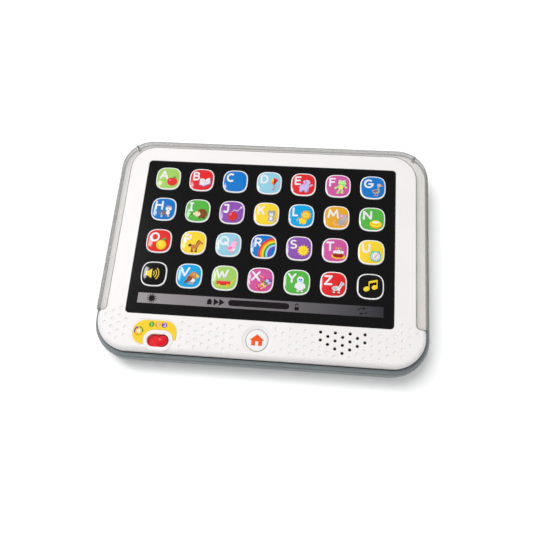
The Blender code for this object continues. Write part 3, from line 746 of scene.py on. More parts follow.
mats["plated"] = platedMetal()
inside = {
    "mainBoard": (paint("1d6b3c"), ("main_board", "control_board")),
    "switchBody": (paint("34363a"), ("stage_switch", "home_switch", "power_switch")),
    "speakerSteel": (paint("8d8f92"), ("speaker_frame", "speaker_magnet", "contact_plate_left",
                                       "contact_plate_right")),
    "speakerCone": (paint("1b1a19"), ("speaker_cone",)),
    "cellWrap": (paint("c9962f"), ("battery_cell_1", "battery_cell_2", "battery_cell_3")),
    "keyMembrane": (paint("b9bcbb"), ("key_membrane",)),
}


def colorInside():
    for name, (color, nodeNames) in inside.items():
        mat = mouldedPlastic(name, color, 0.45)
        setInputs(mat.node_tree.nodes["Principled BSDF"], Metallic=float(name == "speakerSteel"))
        for nodeName in nodeNames:
            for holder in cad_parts[nodeName].material_slots:
                holder.material = mat


colorInside()
print("inner parts coloured")


# label, slider and home button

def switchLabel():
    sheet = slab(labelCorners(), label["high"] - 0.2, label["high"], steps=10)
    piece = rawObject("switchLabel", sheet, [mats["labelYellow"]])
    finishPiece(piece, "housing", "label_yellow", "switch_label")


slider = {"travel": 7.0, "knob": 4.2, "plateLow": 22.7, "plateHigh": 24.1, "plateHalf": 4.95}
slider["x"] = slot["x"] + slot["long"] / 2 - slider["knob"] - 0.75


def stageSlider():
    left = slot["x"] - slot["long"] / 2 - 0.7
    right = slot["x"] + slot["long"] / 2 + slider["travel"] + 0.7
    low, high = slot["y"] - slider["plateHalf"], slot["y"] + slider["plateHalf"]
    corners = boxCorners((right - left) / 2, low, high, 2, middle=(left + right) / 2)
    plate, knob = slab(corners, slider["plateLow"], slider["plateHigh"]), slider["knob"]
    piece = rawObject("stageSlider", plate, [mats["sliderRed"]])
    dome = [(0, 27.9), (1.4, 27.82), (2.6, 27.55), (3.5, 27.05), (4.0, 26.4), (knob, 25.4),
            (knob + 0.05, 23.2), (0, 23.2)]
    join(piece, turned(dome, slider["x"], slot["y"]))
    finishPiece(piece, "stage_slider_body", "slider_red", "stage_slider")


def buttonTop(x, y=0.0):
    return home["top"] - home["crown"] * (x * x + y * y)


def homeButton():
    r = home["button"]
    profile = [(r * share, buttonTop(r * share)) for share in (0, 0.3, 0.5, 0.65, 0.78, 0.88)]
    profile += [(r - 0.5, 26.45), (r - 0.15, 26.2), (r, 25.8), (r, 24.1), (r + 1.2, 24.1), (r + 1.2, 23.3),
                (0, 23.3)]
    button = rawObject("homeButton", turned(profile, 0, home["y"], sides=64), [mats["whiteShell"]])
    finishPiece(button, "home_button_body", "white_shell", "home_button")


clearRim()
rearShell()
batteryDoor()
smallBackParts()
print("shells, door, screws and feet ready")
screenPanel()
for name, x, y in keyPlaces():
    keyCap(name, x, y)
switchLabel()
stageSlider()
homeButton()
print("panel, keys and controls ready")


# printed inks on the keys, the strip, the label and the home button

inkColors = {
    "white": "d6d4da", "cream": "dcc8a6", "black": "171415", "ash": "9d9896", "grey": "a9a49e",
    "slate": "6e6468", "red": "cc2a22", "darkRed": "9c1c1b", "orange": "dc7e1c", "amber": "d69522",
    "yellow": "e2c226", "lemon": "e4d046", "brown": "7c4422", "tan": "b9713a", "darkBrown": "44261a",
    "green": "2e8a3b", "leaf": "4a9a1e", "lime": "a6dc7c", "teal": "2fae9c", "sky": "8ac4ee",
    "blue": "2057c4", "lilac": "b9a8d2", "violet": "8a76b4", "purple": "6d3fa0", "pink": "f2a2c6",
    "rose": "e06a9c", "homeOrange": "dc4e12",
}
inkMats = {name: mouldedPlastic("ink" + name[0].upper() + name[1:], paint(code), 0.16, bump=0.003, coat=0.5)
           for name, code in inkColors.items()}
inkLayer = {"step": 0.012, "gap": 0.035, "grid": 1.25, "thick": 0.03, "reach": 12}


def inkOval(bm, x, y, rx, ry=None, turn=0, sides=28):
    verts = bmesh.ops.create_circle(bm, cap_ends=True, segments=sides, radius=1.0)["verts"]
    bmesh.ops.scale(bm, vec=(rx * mm, (ry or rx) * mm, 0), verts=verts)
    bmesh.ops.rotate(bm, cent=(0, 0, 0), matrix=Matrix.Rotation(math.radians(turn), 3, "Z"), verts=verts)
    bmesh.ops.translate(bm, vec=(x * mm, y * mm, 0), verts=verts)


def inkShape(bm, radius, *points):
    outlineFace(bm, [(x, y, radius) for x, y in points], 0, steps=4)


def inkBar(bm, wide, *points):
    # straight strokes from point to point, each with rounded ends
    for (x0, y0), (x1, y1) in zip(points, points[1:]):
        long, turn = math.hypot(x1 - x0, y1 - y0), math.atan2(y1 - y0, x1 - x0)
        before = set(bm.verts)
        half = wide / 2
        outlineFace(bm, boxCorners(long / 2 + half, -half, half, half * 0.98), 0, steps=5)
        fresh = [v for v in bm.verts if v not in before]
        bmesh.ops.rotate(bm, cent=(0, 0, 0), matrix=Matrix.Rotation(turn, 3, "Z"), verts=fresh)
        bmesh.ops.translate(bm, vec=((x0 + x1) / 2 * mm, (y0 + y1) / 2 * mm, 0), verts=fresh)


def inkArc(bm, wide, x, y, rx, ry, start, end):
    # a curved stroke about x, y, from one angle to the other
    first = [bm.verts.new(((rx + k * wide / 2) * mm, 0, 0)) for k in (-1, 1)]
    edge = bm.edges.new(first)
    before = set(bm.verts) - set(first)
    bmesh.ops.rotate(bm, cent=(0, 0, 0), matrix=Matrix.Rotation(math.radians(start), 3, "Z"), verts=first)
    steps = max(int(abs(end - start) / 12), 3)
    bmesh.ops.spin(bm, geom=first + [edge], cent=(0, 0, 0), axis=(0, 0, 1), angle=math.radians(end - start),
                   steps=steps)
    fresh = [v for v in bm.verts if v not in before]
    bmesh.ops.scale(bm, vec=(1, ry / rx, 1), verts=fresh)
    bmesh.ops.translate(bm, vec=(x * mm, y * mm, 0), verts=fresh)


def inkDrawing(marks):
    # every mark is a tool, an ink and its values in mm: later marks lie on top of earlier ones
    tools = {"oval": inkOval, "shape": inkShape, "bar": inkBar, "arc": inkArc}
    bm, used = bmesh.new(), []
    for layer, (tool, ink, *values) in enumerate(marks):
        if ink not in used:
            used.append(ink)
        oldVerts, oldFaces = set(bm.verts), set(bm.faces)
        tools[tool](bm, *values)
        for f in bm.faces:
            if f not in oldFaces:
                f.material_index = used.index(ink)
        fresh = [v for v in bm.verts if v not in oldVerts]
        bmesh.ops.translate(bm, vec=(0, 0, layer * inkLayer["step"] * mm), verts=fresh)
    return bm, [inkMats[name] for name in used]


def layInk(name, marks, x, y, surface, body, slotName, limit=None):
    # cuts the flat drawing into small pieces, lifts them onto the surface and gives them thickness
    bm, used = inkDrawing(marks)
    for normal in (Vector((1, 0, 0)), Vector((0, 1, 0))):
        for i in range(int(2 * inkLayer["reach"] / inkLayer["grid"]) + 1):
            at = (i * inkLayer["grid"] - inkLayer["reach"]) * mm
            bmesh.ops.bisect_plane(bm, geom=bm.verts[:] + bm.edges[:] + bm.faces[:], dist=1e-8,
                                   plane_co=normal * at, plane_no=normal)
    if limit:
        out = {v for v in bm.verts if superNorm(v.co.x / mm, v.co.y / mm) > limit}
        bmesh.ops.delete(bm, geom=[f for f in bm.faces if out.issuperset(f.verts)], context="FACES")
        for vert in bm.verts:
            over = superNorm(vert.co.x / mm, vert.co.y / mm) / limit
            if over > 1:
                vert.co.x /= over
                vert.co.y /= over
    for vert in bm.verts:
        vert.co.z += (surface(vert.co.x / mm, vert.co.y / mm) + inkLayer["gap"]) * mm
    bmesh.ops.translate(bm, vec=(x * mm, y * mm, 0), verts=bm.verts)
    ink = rawObject(name, bm, used)
    for polygon in ink.data.polygons:
        if polygon.normal.z < 0:
            polygon.flip()
    ink.data.update()
    wall = ink.modifiers.new("thickness", "SOLIDIFY")
    wall.thickness = inkLayer["thick"] * mm
    wall.offset = -1
    bakeModifiers(ink)
    finishPiece(ink, body, slotName, sharp=60)


letterLook = {"left": -7.0, "top": 6.6, "tall": 7.7, "stroke": 1.45, "wider": 1.07}
# each letter: its width in mm, then its strokes in a box that runs from 0 to 1 both ways
letters = {
    "a": (6.5, [("bar", (0, 0), (.5, 1), (1, 0)), ("bar", (.2, .3), (.8, .3))]),
    "b": (5.1, [("bar", (.55, 1), (0, 1), (0, 0), (.55, 0)), ("bar", (0, .52), (.55, .52)),
                ("arc", .55, .76, .36, .24, 90, -90), ("arc", .55, .26, .45, .26, 90, -90)]),
    "c": (6.2, [("arc", .52, .5, .52, .5, 48, 312)]),
    "d": (5.8, [("bar", (.4, 1), (0, 1), (0, 0), (.4, 0)), ("arc", .4, .5, .6, .5, 90, -90)]),
    "e": (4.8, [("bar", (1, 1), (0, 1), (0, 0), (1, 0)), ("bar", (0, .52), (.88, .52))]),
    "f": (4.7, [("bar", (1, 1), (0, 1), (0, 0)), ("bar", (0, .52), (.88, .52))]),
    "g": (7.0, [("arc", .5, .5, .5, .5, 45, 358), ("bar", (.55, .47), (1, .47))]),
    "h": (6.1, [("bar", (0, 0), (0, 1)), ("bar", (1, 0), (1, 1)), ("bar", (0, .52), (1, .52))]),
    "i": (3.4, [("bar", (0, 1), (1, 1)), ("bar", (0, 0), (1, 0)), ("bar", (.5, 0), (.5, 1))]),
    "j": (4.3, [("bar", (.1, 1), (1, 1), (1, .3)), ("arc", .5, .3, .5, .3, 0, -160)]),
    "k": (5.2, [("bar", (0, 0), (0, 1)), ("bar", (1, 1), (.05, .42)), ("bar", (.32, .58), (1, 0))]),
    "l": (4.2, [("bar", (0, 1), (0, 0), (1, 0))]),
    "m": (8.2, [("bar", (0, 0), (.14, 1), (.5, .2), (.86, 1), (1, 0))]),
    "n": (6.4, [("bar", (0, 0), (0, 1), (1, 0), (1, 1))]),
    "o": (7.0, [("arc", .5, .5, .5, .5, 0, 360)]),
    "p": (5.0, [("bar", (.5, 1), (0, 1), (0, 0)), ("bar", (0, .46), (.5, .46)),
                ("arc", .5, .73, .5, .27, 90, -90)]),
    "q": (7.0, [("arc", .5, .5, .5, .5, 0, 360), ("bar", (.6, .28), (1, -.06))]),
    "r": (5.2, [("bar", (.5, 1), (0, 1), (0, 0)), ("bar", (0, .46), (.5, .46), (1, 0)),
                ("arc", .5, .73, .46, .27, 90, -90)]),
    "s": (5.1, [("arc", .5, .75, .46, .25, 30, 270), ("arc", .5, .25, .5, .25, 90, -150)]),
    "t": (5.9, [("bar", (0, 1), (1, 1)), ("bar", (.5, 1), (.5, 0))]),
    "u": (5.7, [("bar", (0, 1), (0, .38)), ("bar", (1, 1), (1, .38)), ("arc", .5, .38, .5, .38, 180, 360)]),
    "v": (6.9, [("bar", (0, 1), (.5, 0), (1, 1))]),
    "w": (9.2, [("bar", (0, 1), (.26, 0), (.5, .8), (.74, 0), (1, 1))]),
    "x": (6.3, [("bar", (0, 0), (1, 1)), ("bar", (0, 1), (1, 0))]),
    "y": (6.0, [("bar", (0, 1), (.5, .45), (1, 1)), ("bar", (.5, .45), (.5, 0))]),
    "z": (5.8, [("bar", (0, 1), (1, 1), (0, 0), (1, 0))]),
}


def letterMarks(letter):
    wide, strokes = letters[letter]
    stroke = letterLook["stroke"]
    left, low = letterLook["left"] + stroke / 2, letterLook["top"] - letterLook["tall"] + stroke / 2
    wide, tall = wide * letterLook["wider"] - stroke, letterLook["tall"] - stroke
    marks = []
    for tool, *values in strokes:
        if tool == "bar":
            marks.append(("bar", "white", stroke, *((left + x * wide, low + y * tall) for x, y in values)))
        else:
            x, y, rx, ry, *ends = values
            x, y = left + x * wide, low + y * tall
            marks.append(("arc", "white", stroke, x, y, rx * wide, ry * tall, *ends))
    return marks


def ray(x, y, radius, degrees):
    return x + radius * math.cos(math.radians(degrees)), y + radius * math.sin(math.radians(degrees))


def legs(ink, wide, tops, drop, lean=0.0):
    return [("bar", ink, wide, (x, y), (x + lean, y - drop)) for x, y in tops]


def eyes(size, y, *places):
    return [mark for x in places for mark in
            (("oval", "white", x, y, size, size * 1.15), ("oval", "black", x + size * 0.2, y, size * 0.55))]


def star(ink, edge, x, y, outer, inner, points, turn=0):
    # a disc with a zigzag edge
    step = 360 / points
    corners = (ray(x, y, outer if i % 2 else inner, step * i + turn) for i in range(points))
    return ("shape", ink, edge, *corners)


rainbow = ("red", "orange", "yellow", "green", "sky", "purple")
pictures = {
    "a": [("oval", "darkRed", 3.6, -3.2, 4, 3.4), ("oval", "red", 2.2, -2.9, 2.6, 3.1),
          ("oval", "red", 4.9, -2.9, 2.7, 3.1), ("oval", "red", 3.6, -3.6, 3.6, 2.7),
          ("oval", "rose", 1.6, -2, .6, 1, 25), ("bar", "brown", .5, (3.6, -.6), (4.2, .5), (5.1, 1.4)),
          ("oval", "green", 5.2, .6, 1.2, .55, 25)],
    "b": [("shape", "violet", .5, (-1.7, -5), (2.6, -6.3), (7.8, -3.5), (6.9, 1.5), (3.5, -.3), (-1.5, .5)),
          ("shape", "cream", .3, (-1.1, -4.4), (2.7, -5.6), (3.4, -.7), (1.4, .7), (-1.2, .4)),
          ("shape", "white", .3, (-.9, -4), (2.6, -5.2), (3.3, -.6), (1.4, .6), (-1, .3)),
          ("shape", "white", .3, (2.7, -5.2), (7.1, -3), (6.4, 1.6), (4.3, .8), (3.4, -.6)),
          ("bar", "violet", .22, (3.35, -.8), (2.7, -5.2))]
         + [("bar", "ash", .18, (3.7, -1.6 - i), (6.3, -.4 - i)) for i in range(3)]
         + [("bar", "ash", .18, (-.4, -.9 - i), (2.7, -1.3 - i)) for i in range(3)],
    "d": [("bar", "darkRed", .25, (3.8, -3), (5, -4.1), (4.2, -5.1), (3.5, -5.9), (3.7, -6.9)),
          ("shape", "orange", .1, (1.4, .6), (3.5, 1.2), (3.8, -3)),
          ("shape", "yellow", .1, (1.4, .6), (3.2, 4.2), (3.5, 1.2)),
          ("shape", "red", .1, (3.2, 4.2), (7, 2.8), (3.5, 1.2)),
          ("shape", "darkRed", .1, (7, 2.8), (3.8, -3), (3.5, 1.2)),
          ("shape", "red", .1, (2.6, -5.2), (3.5, -5.7), (2.7, -6.3)),
          ("shape", "red", .1, (4.4, -5.3), (3.5, -5.7), (4.3, -6.3)),
          ("shape", "orange", .1, (4.2, -3.5), (5, -4.1), (4.3, -4.6)),
          ("shape", "orange", .1, (5.9, -3.6), (5, -4.1), (5.9, -4.6))],
    "e": legs("violet", 1.9, [(-1, -3.2), (3.4, -3.4)], 2.7) + [("oval", "lilac", .9, -2.9, 3.5, 2.7)]
         + legs("lilac", 2, [(-1.9, -3.2), (2.2, -3.4)], 3)
         + [("arc", "lilac", 1.3, 4.4, .6, 2.6, 2.4, -110, -15),
          ("bar", "violet", .35, (-2.6, -2.2), (-3.7, -3.3)), ("oval", "lilac", 2.6, 1.2, 2.7, 2.5),
          ("oval", "violet", .8, 1.4, 1.5, 1.9, 15), ("oval", "pink", .7, 1.4, .9, 1.3, 15)]
         + eyes(.45, 1.9, 3.4) + [("oval", "violet", -1.9, -6.6, .8, .3),
          ("oval", "violet", 2.2, -6.8, .8, .3)],
    "f": [("bar", "lime", 1.1, (1.8, -3.2), (.2, -5), (.6, -6.1)),
          ("bar", "lime", 1.1, (2.6, -2.9), (3.7, -4.6), (2.6, -5.8)),
          ("bar", "lime", .9, (.6, -.6), (-1.6, -2.2)), ("bar", "lime", .9, (4.6, .2), (6.1, -1.4)),
          ("oval", "lime", 0, -6.3, 1.2, .6, 15), ("oval", "lime", 3.2, -6.1, 1.2, .55, -10),
          ("oval", "lime", -1.9, -2.3, .9), ("oval", "lime", 6.3, -1.6, .8),
          ("oval", "lime", 2.2, -1.4, 1.9, 2.4, -15), ("oval", "lemon", 2.2, -1.6, 1.1, 1.7, -15),
          ("oval", "lime", 3.1, 1.9, 3.1, 2.2), ("oval", "lime", 1.4, 3.9, 1.1),
          ("oval", "lime", 4.7, 3.9, 1.1), ("arc", "green", .35, 3.1, 2.1, 1.9, 1.4, 200, 340)]
         + eyes(.65, 4, 1.4, 4.7),
    "g": [("bar", "orange", .45, (2.1, -5.2), (2, -7), (1, -7.1)),
          ("bar", "orange", .45, (3.5, -5.2), (3.8, -7), (2.8, -7.3)),
          ("oval", "ash", 2.5, -3.8, 2.9, 1.9, 12),
          ("shape", "ash", .3, (-1.3, -2.6), (.6, -4.4), (1.2, -2.4)),
          ("oval", "slate", 2.1, -3.5, 1.9, 1, 20),
          ("bar", "ash", 1.3, (4.4, -2.9), (3.9, -.6), (4.5, 1.4)), ("oval", "grey", 4.7, 1.7, 1.7, 1.45),
          ("shape", "orange", .3, (5.9, 2.2), (8, 1.1), (5.9, .8))] + eyes(.4, 2.1, 4.9),
    "h": [("arc", "slate", 1, -1.7, -3, 1.6, 1.6, 150, 290)]
         + legs("slate", 1.2, [(-.4, -4), (3.2, -4)], 2.2) + [("oval", "slate", 1.5, -3.2, 3.4, 1.9)]
         + legs("ash", 1.2, [(-1, -4.2), (4.2, -3.8)], 2.3, .2) + [("oval", "white", 3.9, -3.4, 1.5, 1.8),
          ("shape", "slate", .3, (1.6, .6), (2.2, 3.6), (3.9, 1.8)),
          ("shape", "slate", .3, (4, 1.8), (6.3, 3.5), (6.5, .4)), ("oval", "ash", 4.1, .4, 2.5, 2.1),
          ("oval", "white", 3.2, -.2, 1.4, 1.4), ("oval", "white", 5, -.2, 1.4, 1.4),
          ("oval", "white", 4.1, -.9, 1.3, 1), ("oval", "black", 4.1, -.5, .5, .4)] + eyes(.4, .8, 3.1, 5.1)
         + [("oval", "white", -.8, -6.7, .8, .4), ("oval", "white", 4.5, -6.3, .8, .4)],
    "i": legs("darkBrown", .9, [(2, -5.6), (5.8, -5.4)], 1.1)
         + [star("brown", .25, 3.8, -2.7, 4.4, 3.7, 24)]
         + [("bar", "darkBrown", .22, ray(3.8, -2.7, r, a), ray(3.8, -2.7, r + .9, a)) for r, a in
            ((1, 20), (1.2, 75), (1.1, 130), (1, -50), (2.4, 0), (2.4, 40), (2.4, 85), (2.4, 120), (2.4, -35),
             (2.3, -75))]
         + [("oval", "cream", .2, -3.3, 2.5, 2.2),
          ("shape", "cream", .5, (-.5, -1.7), (-4, -3.6), (-.3, -5)), ("oval", "black", -3.8, -3.5, .55),
          ("oval", "tan", 1.1, -1.4, .9, .8), ("arc", "brown", .22, -1.2, -3.6, 1.1, .9, 215, 315)]
         + eyes(.5, -2.6, -.8),
    "j": [("bar", "white", .4, (.2, -.2), (1.9, 2), (4, .6), (6.8, 3.6)), ("oval", "white", 7.1, 4.2, .8),
          ("oval", "darkRed", 1.1, -3.7, 3.5, 3.7), ("oval", "red", .8, -3.6, 3.3, 3.5),
          ("oval", "rose", -.6, -2.1, .8, 1.1, -30), ("arc", "darkRed", .25, .8, -3.6, 1.9, 2, 0, 360),
          ("oval", "darkRed", .8, -3.6, .6)],
    "k": [("arc", "ash", .8, 6.2, -4.4, 1.6, 1.9, -80, 80), ("oval", "ash", 4, -4.2, 2.4, 2.5)]
         + legs("grey", 1.1, [(2.9, -4.6), (4.9, -4.8)], 1.9) + [("oval", "white", 3.8, -3.9, 1.2, 1.6),
          ("shape", "ash", .2, (1.4, .8), (1.6, 3.2), (3.6, 1.9)),
          ("shape", "ash", .2, (4.4, 1.9), (6.6, 3.2), (6.7, .8)), ("oval", "ash", 4, .2, 3, 2.4),
          ("oval", "white", 4, -.8, 1.6, 1.1), ("shape", "pink", .12, (3.6, -.3), (4.4, -.3), (4, -.8)),
          ("bar", "slate", .2, (3.2, 2.2), (3.4, 1.4)), ("bar", "slate", .2, (4, 2.4), (4, 1.5)),
          ("bar", "slate", .2, (4.8, 2.2), (4.6, 1.4)), ("bar", "slate", .16, (1.2, -.3), (2.4, -.6)),
          ("bar", "slate", .16, (6.8, -.3), (5.6, -.6))] + eyes(.5, .5, 2.9, 5.1)
         + [("oval", "white", 2.9, -6.6, .8, .4), ("oval", "white", 4.9, -6.8, .8, .4)],
    "l": [("arc", "yellow", .5, -1.5, -4.2, 1.6, 1.3, 90, 220), ("oval", "amber", -1.5, -2.8, .7),
          ("oval", "yellow", 1.4, -4.2, 2.9, 2.2)]
         + legs("yellow", 1.3, [(-.4, -4.8), (1.6, -5.2), (3.2, -4.8)], 1.8)
         + [star("amber", .3, 3.6, .3, 4.2, 3.5, 20),
          ("oval", "yellow", 3.6, .1, 2.8, 2.7), ("oval", "lemon", 3.6, -.9, 1.7, 1.2),
          ("shape", "brown", .15, (3, 0), (4.2, 0), (3.6, -.7)),
          ("arc", "brown", .3, 3.6, -.9, 1, .8, 190, 350)] + eyes(.5, 1, 2.6, 4.6),
    "m": [("arc", "pink", .4, -.6, -4.6, 1.5, 1.6, 100, 300), ("oval", "ash", 3.6, -4, 3, 2.7, 20),
          ("bar", "ash", 1, (2.4, -5.4), (1.6, -6.3)), ("bar", "ash", 1, (4.8, -5.3), (5.2, -6.4)),
          ("bar", "ash", .8, (5.4, -3.4), (6.9, -3.1)), ("oval", "grey", 6, -1, 2.3, 1.8, 10),
          ("shape", "grey", .4, (6.4, 0), (8.4, -1.5), (6.3, -2.4)), ("oval", "pink", 8.1, -1.5, .4),
          ("oval", "ash", 4, 1, 1.7), ("oval", "pink", 4, 1, 1.1), ("oval", "ash", 6.6, 1.2, 1.1),
          ("oval", "pink", 6.6, 1.2, .6), ("oval", "pink", 1.5, -6.6, .8, .35),
          ("oval", "pink", 5.4, -6.8, .8, .35), ("oval", "pink", 7.2, -3.1, .45)] + eyes(.4, -.7, 6.2),
    "n": [("oval", "amber", 2.7, -4.6, 4.6, 3.1), ("oval", "yellow", 2.7, -4.1, 4.5, 2.8),
          ("oval", "amber", 2.7, -3.2, 3.6, 1.6), ("oval", "lemon", 2.7, -3, 3.3, 1.4),
          ("oval", "white", 2.8, -2.7, 2.1, .85),
          ("bar", "lemon", .3, (-.6, -5.6), (1.6, -6.4), (4.2, -6.3))],
    "o": [("oval", "amber", 2.4, -3.6, 4), ("oval", "yellow", 2.1, -3.2, 3.5),
          ("oval", "lemon", 1, -1.9, 1, 1.4, -30), ("bar", "brown", .4, (2.5, .2), (2.8, .9)),
          ("oval", "green", 3.9, 1.3, 1.7, .8, 25), ("bar", "lime", .18, (2.6, .8), (5, 1.7))]
         + [("oval", "amber", x, y, .18) for x, y in ((3.6, -4.4), (2.4, -5.4), (4.4, -2.6), (1, -4.6),
           (3, -2.2), (4.8, -5))],
    "p": [("oval", "darkBrown", -2.3, -2.6, 1.4, 1.1, 40)]
         + legs("brown", .8, [(-.7, -4.4), (3.1, -4.2)], 3.2) + [("oval", "tan", 1.3, -3.6, 3, 1.7)]
         + legs("tan", .9, [(.3, -4.2), (2.3, -4.4)], 3.2, -.1)
         + [("shape", "tan", .5, (2.4, -3.4), (4.6, 1.4), (6.2, .4), (4, -4.4)),
          ("oval", "tan", 5.8, -.1, 2, .95, -28), ("shape", "tan", .15, (4.5, 1), (4.8, 2.4), (5.4, 1.2)),
          ("bar", "darkBrown", .7, (4.4, 1.6), (3.3, .2), (2.7, -1.6)), ("oval", "black", 5.6, .3, .28),
          ("oval", "darkBrown", 7.1, -.8, .25)]
         + [("oval", "darkBrown", x, -7.4, .6, .4) for x in (-.7, .2, 2.2, 3.1)],
    "q": [("bar", "orange", .4, (2.4, -5.4), (2.2, -6.9), (1.2, -7)),
          ("bar", "orange", .4, (4, -5.4), (4.2, -6.9), (3.2, -7.1)),
          ("shape", "rose", .3, (-1.6, -2.4), (.4, -5.2), (1.2, -3)),
          ("oval", "pink", 2.9, -3.4, 3, 2.4, 10), ("oval", "rose", 1.9, -3.2, 1.8, 1.1, 15),
          ("oval", "pink", 4.4, .4, 2.2, 2.2), ("bar", "rose", .35, (4.2, 2.4), (4.9, 3.9), (6, 4.2)),
          ("oval", "rose", 6.2, 4.1, .6), ("shape", "orange", .2, (6.2, .9), (7.8, .2), (6.2, -.3)),
          ("oval", "white", 4.4, -4.4, 1.2, .9)] + eyes(.5, .8, 4.9),
    "r": [("arc", color, 1.45, 9.6, -6.2, 12.6 - i * 1.4, 12.9 - i * 1.4, 60, 200)
            for i, color in enumerate(rainbow)],
    "s": [star("amber", .2, 3.2, -2, 4.9, 3.4, 24, 7), star("yellow", .2, 3.2, -1.9, 4.6, 3.2, 24, 7),
          ("oval", "lemon", 3.2, -1.9, 2.9), ("oval", "yellow", 3.2, -1.9, 2.4)],
    "t": [("oval", "amber", 2.6, -5.3, 5.2, 1.9), ("oval", "yellow", 2.6, -4.9, 5.1, 1.8),
          ("oval", "darkRed", 2.6, -4.7, 4, 1.5),
          ("shape", "darkRed", .1, (-1.4, -4.7), (6.6, -4.7), (6.6, -1.6), (-1.4, -1.6)),
          ("shape", "brown", .1, (-1.4, -3.8), (6.6, -3.8), (6.6, -3.1), (-1.4, -3.1)),
          ("oval", "white", 2.6, -1.5, 4, 1.4)]
         + [("oval", "white", x, -2.2, .8, .9) for x in (-.6, 1.5, 3.7, 5.8)]
         + [mark for x, ink in ((.9, "rose"), (2.6, "sky"), (4.3, "green")) for mark in (("bar", ink, .5,
           (x, -1.4), (x, .7)), ("oval", "yellow", x, 1.4, .4, .65))],
    "u": [("bar", "teal", .6, (1.2, -6), (.2, -7.3)), ("bar", "teal", .6, (5.2, -6), (6.2, -7.3)),
          ("oval", "teal", .9, -.4, 1.3, .9, 40), ("oval", "teal", 5.5, -.4, 1.3, .9, -40),
          ("oval", "teal", 3.2, -3.5, 4.1), ("oval", "white", 3.2, -3.5, 3.4)]
         + [("oval", "blue", *ray(3.2, -3.5, 2.7, 30 * i), .3) for i in range(12)]
         + [("bar", "homeOrange", .45, (3.2, -3.5), (4.5, -2.1)),
          ("bar", "homeOrange", .35, (3.2, -3.5), (2.5, -5.2)), ("oval", "orange", 3.2, -3.5, .5)],
    "v": [("oval", "darkBrown", -1.6, -5, 1.5, .8, 35),
          ("bar", "amber", .5, (1.8, -4.6), (1.4, -6.4), (.2, -6.5)),
          ("bar", "amber", .5, (3.4, -4.6), (3.6, -6.5), (2.4, -6.7)),
          ("shape", "brown", .4, (-.4, -1.8), (-3.2, -5.4), (1.4, -4.6)),
          ("oval", "tan", 2.2, -2.2, 3.6, 3.1), ("oval", "white", 3, -3.7, 2.1, 1.5),
          ("oval", "brown", .9, -2.4, 1.9, 2.3, -25), ("oval", "tan", 3.6, .8, 2.7, 2.3),
          ("shape", "yellow", .3, (5.5, 1.6), (8, -.1), (7.2, -1.6), (5.3, -.8)),
          ("bar", "amber", .2, (5.6, .3), (7.6, -.5))] + eyes(.6, 1.3, 4),
    "w": [("bar", "yellow", .45, (4.6, -5), (5.4, -4.3), (7.6, -.8)),
          ("bar", "yellow", .5, (6.9, -.5), (8.2, -1.1)),
          ("shape", "darkRed", .5, (-5.6, -3.4), (4.8, -3.4), (4.2, -5.9), (-5, -5.9)),
          ("shape", "red", .4, (-5.9, -2.7), (5.1, -2.7), (4.6, -5.2), (-5.4, -5.2)),
          ("bar", "rose", .25, (-5, -3.1), (4.2, -3.1))]
         + [mark for x in (-3.6, 2.8) for mark in (("oval", "amber", x, -6.2, 1.2),
           ("oval", "yellow", x, -6.2, .9), ("oval", "darkRed", x, -6.2, .3))],
    "x": [("bar", "white", .5, (-2.4, -6.2), (6.6, .4)), ("bar", "white", .5, (-.4, -7.9), (8.2, -1.6))]
         + [("bar", ink, 1.15, (-2.4 + i * 1.75, -5.2 + i * 1.25), (.5 + i * 1.6, -8.1 + i * 1.4))
           for i, ink in enumerate(rainbow)]
         + [("bar", "yellow", .35, (-1, 3.3), (2.9, 1.3)), ("bar", "yellow", .35, (-2, -.9), (1.2, -1.7)),
          ("oval", "red", 3.2, 1.1, .95), ("oval", "red", 1.4, -1.8, .95), ("oval", "rose", 3, 1.4, .3),
          ("oval", "rose", 1.2, -1.5, .3)],
    "y": legs("grey", 1.4, [(1.2, -5.4), (4, -5.4)], 1.7)
         + [star("grey", .3, 2.6, -3.4, 3.9, 3.3, 20),
          ("oval", "white", 2.6, -3.2, 3.2, 3.3), ("oval", "grey", 2.6, 1.6, 2.6, 2.8),
          ("oval", "white", 2.6, 1.5, 2.4, 2.7), ("oval", "white", -.4, -3, .9, 2, -15),
          ("oval", "white", 5.6, -3, .9, 2, 15), ("oval", "sky", 2.6, 1.4, 1.5, 1.4),
          ("oval", "black", 2, 1.9, .35, .45), ("oval", "black", 3.2, 1.9, .35, .45),
          ("arc", "slate", .3, 2.6, 1.2, .8, .6, 200, 340), ("oval", "white", 1.1, -7.2, 1, .5),
          ("oval", "white", 4.1, -7.2, 1, .5)],
    "z": [("bar", "black", .4, (-1.4, -2.6), (-2.6, -4.4))]
         + legs("grey", .8, [(0, -4.2), (3.6, -4.2)], 3.2) + [("oval", "white", 2, -3.3, 3.2, 1.7)]
         + legs("white", .9, [(.8, -4), (4.4, -4)], 3.2, -.1)
         + [("shape", "white", .5, (3, -3.2), (5.4, 1.6), (7.2, .6), (4.9, -4.2)),
          ("oval", "white", 6.7, .4, 1.9, 1, -28),
          ("shape", "white", .15, (5.3, 1), (5.6, 2.5), (6.2, 1.3)),
          ("bar", "black", .5, (5.1, 1.8), (4, 0), (3.2, -1.6)), ("oval", "slate", 7.9, -.3, .6)]
         + [("bar", "black", .32, (x, -2.2 - .1 * i), (x + .25, -4.3))
           for i, x in enumerate((-.4, .6, 1.6, 2.6))]
         + [("bar", "black", .28, ray(3.9, -2.3, r, 62), ray(4.9, -2.6, r, 62))
           for r in (.2, 1.2, 2.2, 3.1)]
         + [("bar", "black", .3, (x - .35, -5.6), (x + .45, -5.6)) for x in (0, .75, 3.6, 4.35)]
         + [("oval", "black", x, -7.4, .55, .35) for x in (0, .7, 3.6, 4.3)]
         + [("oval", "black", 6.4, .8, .28)],
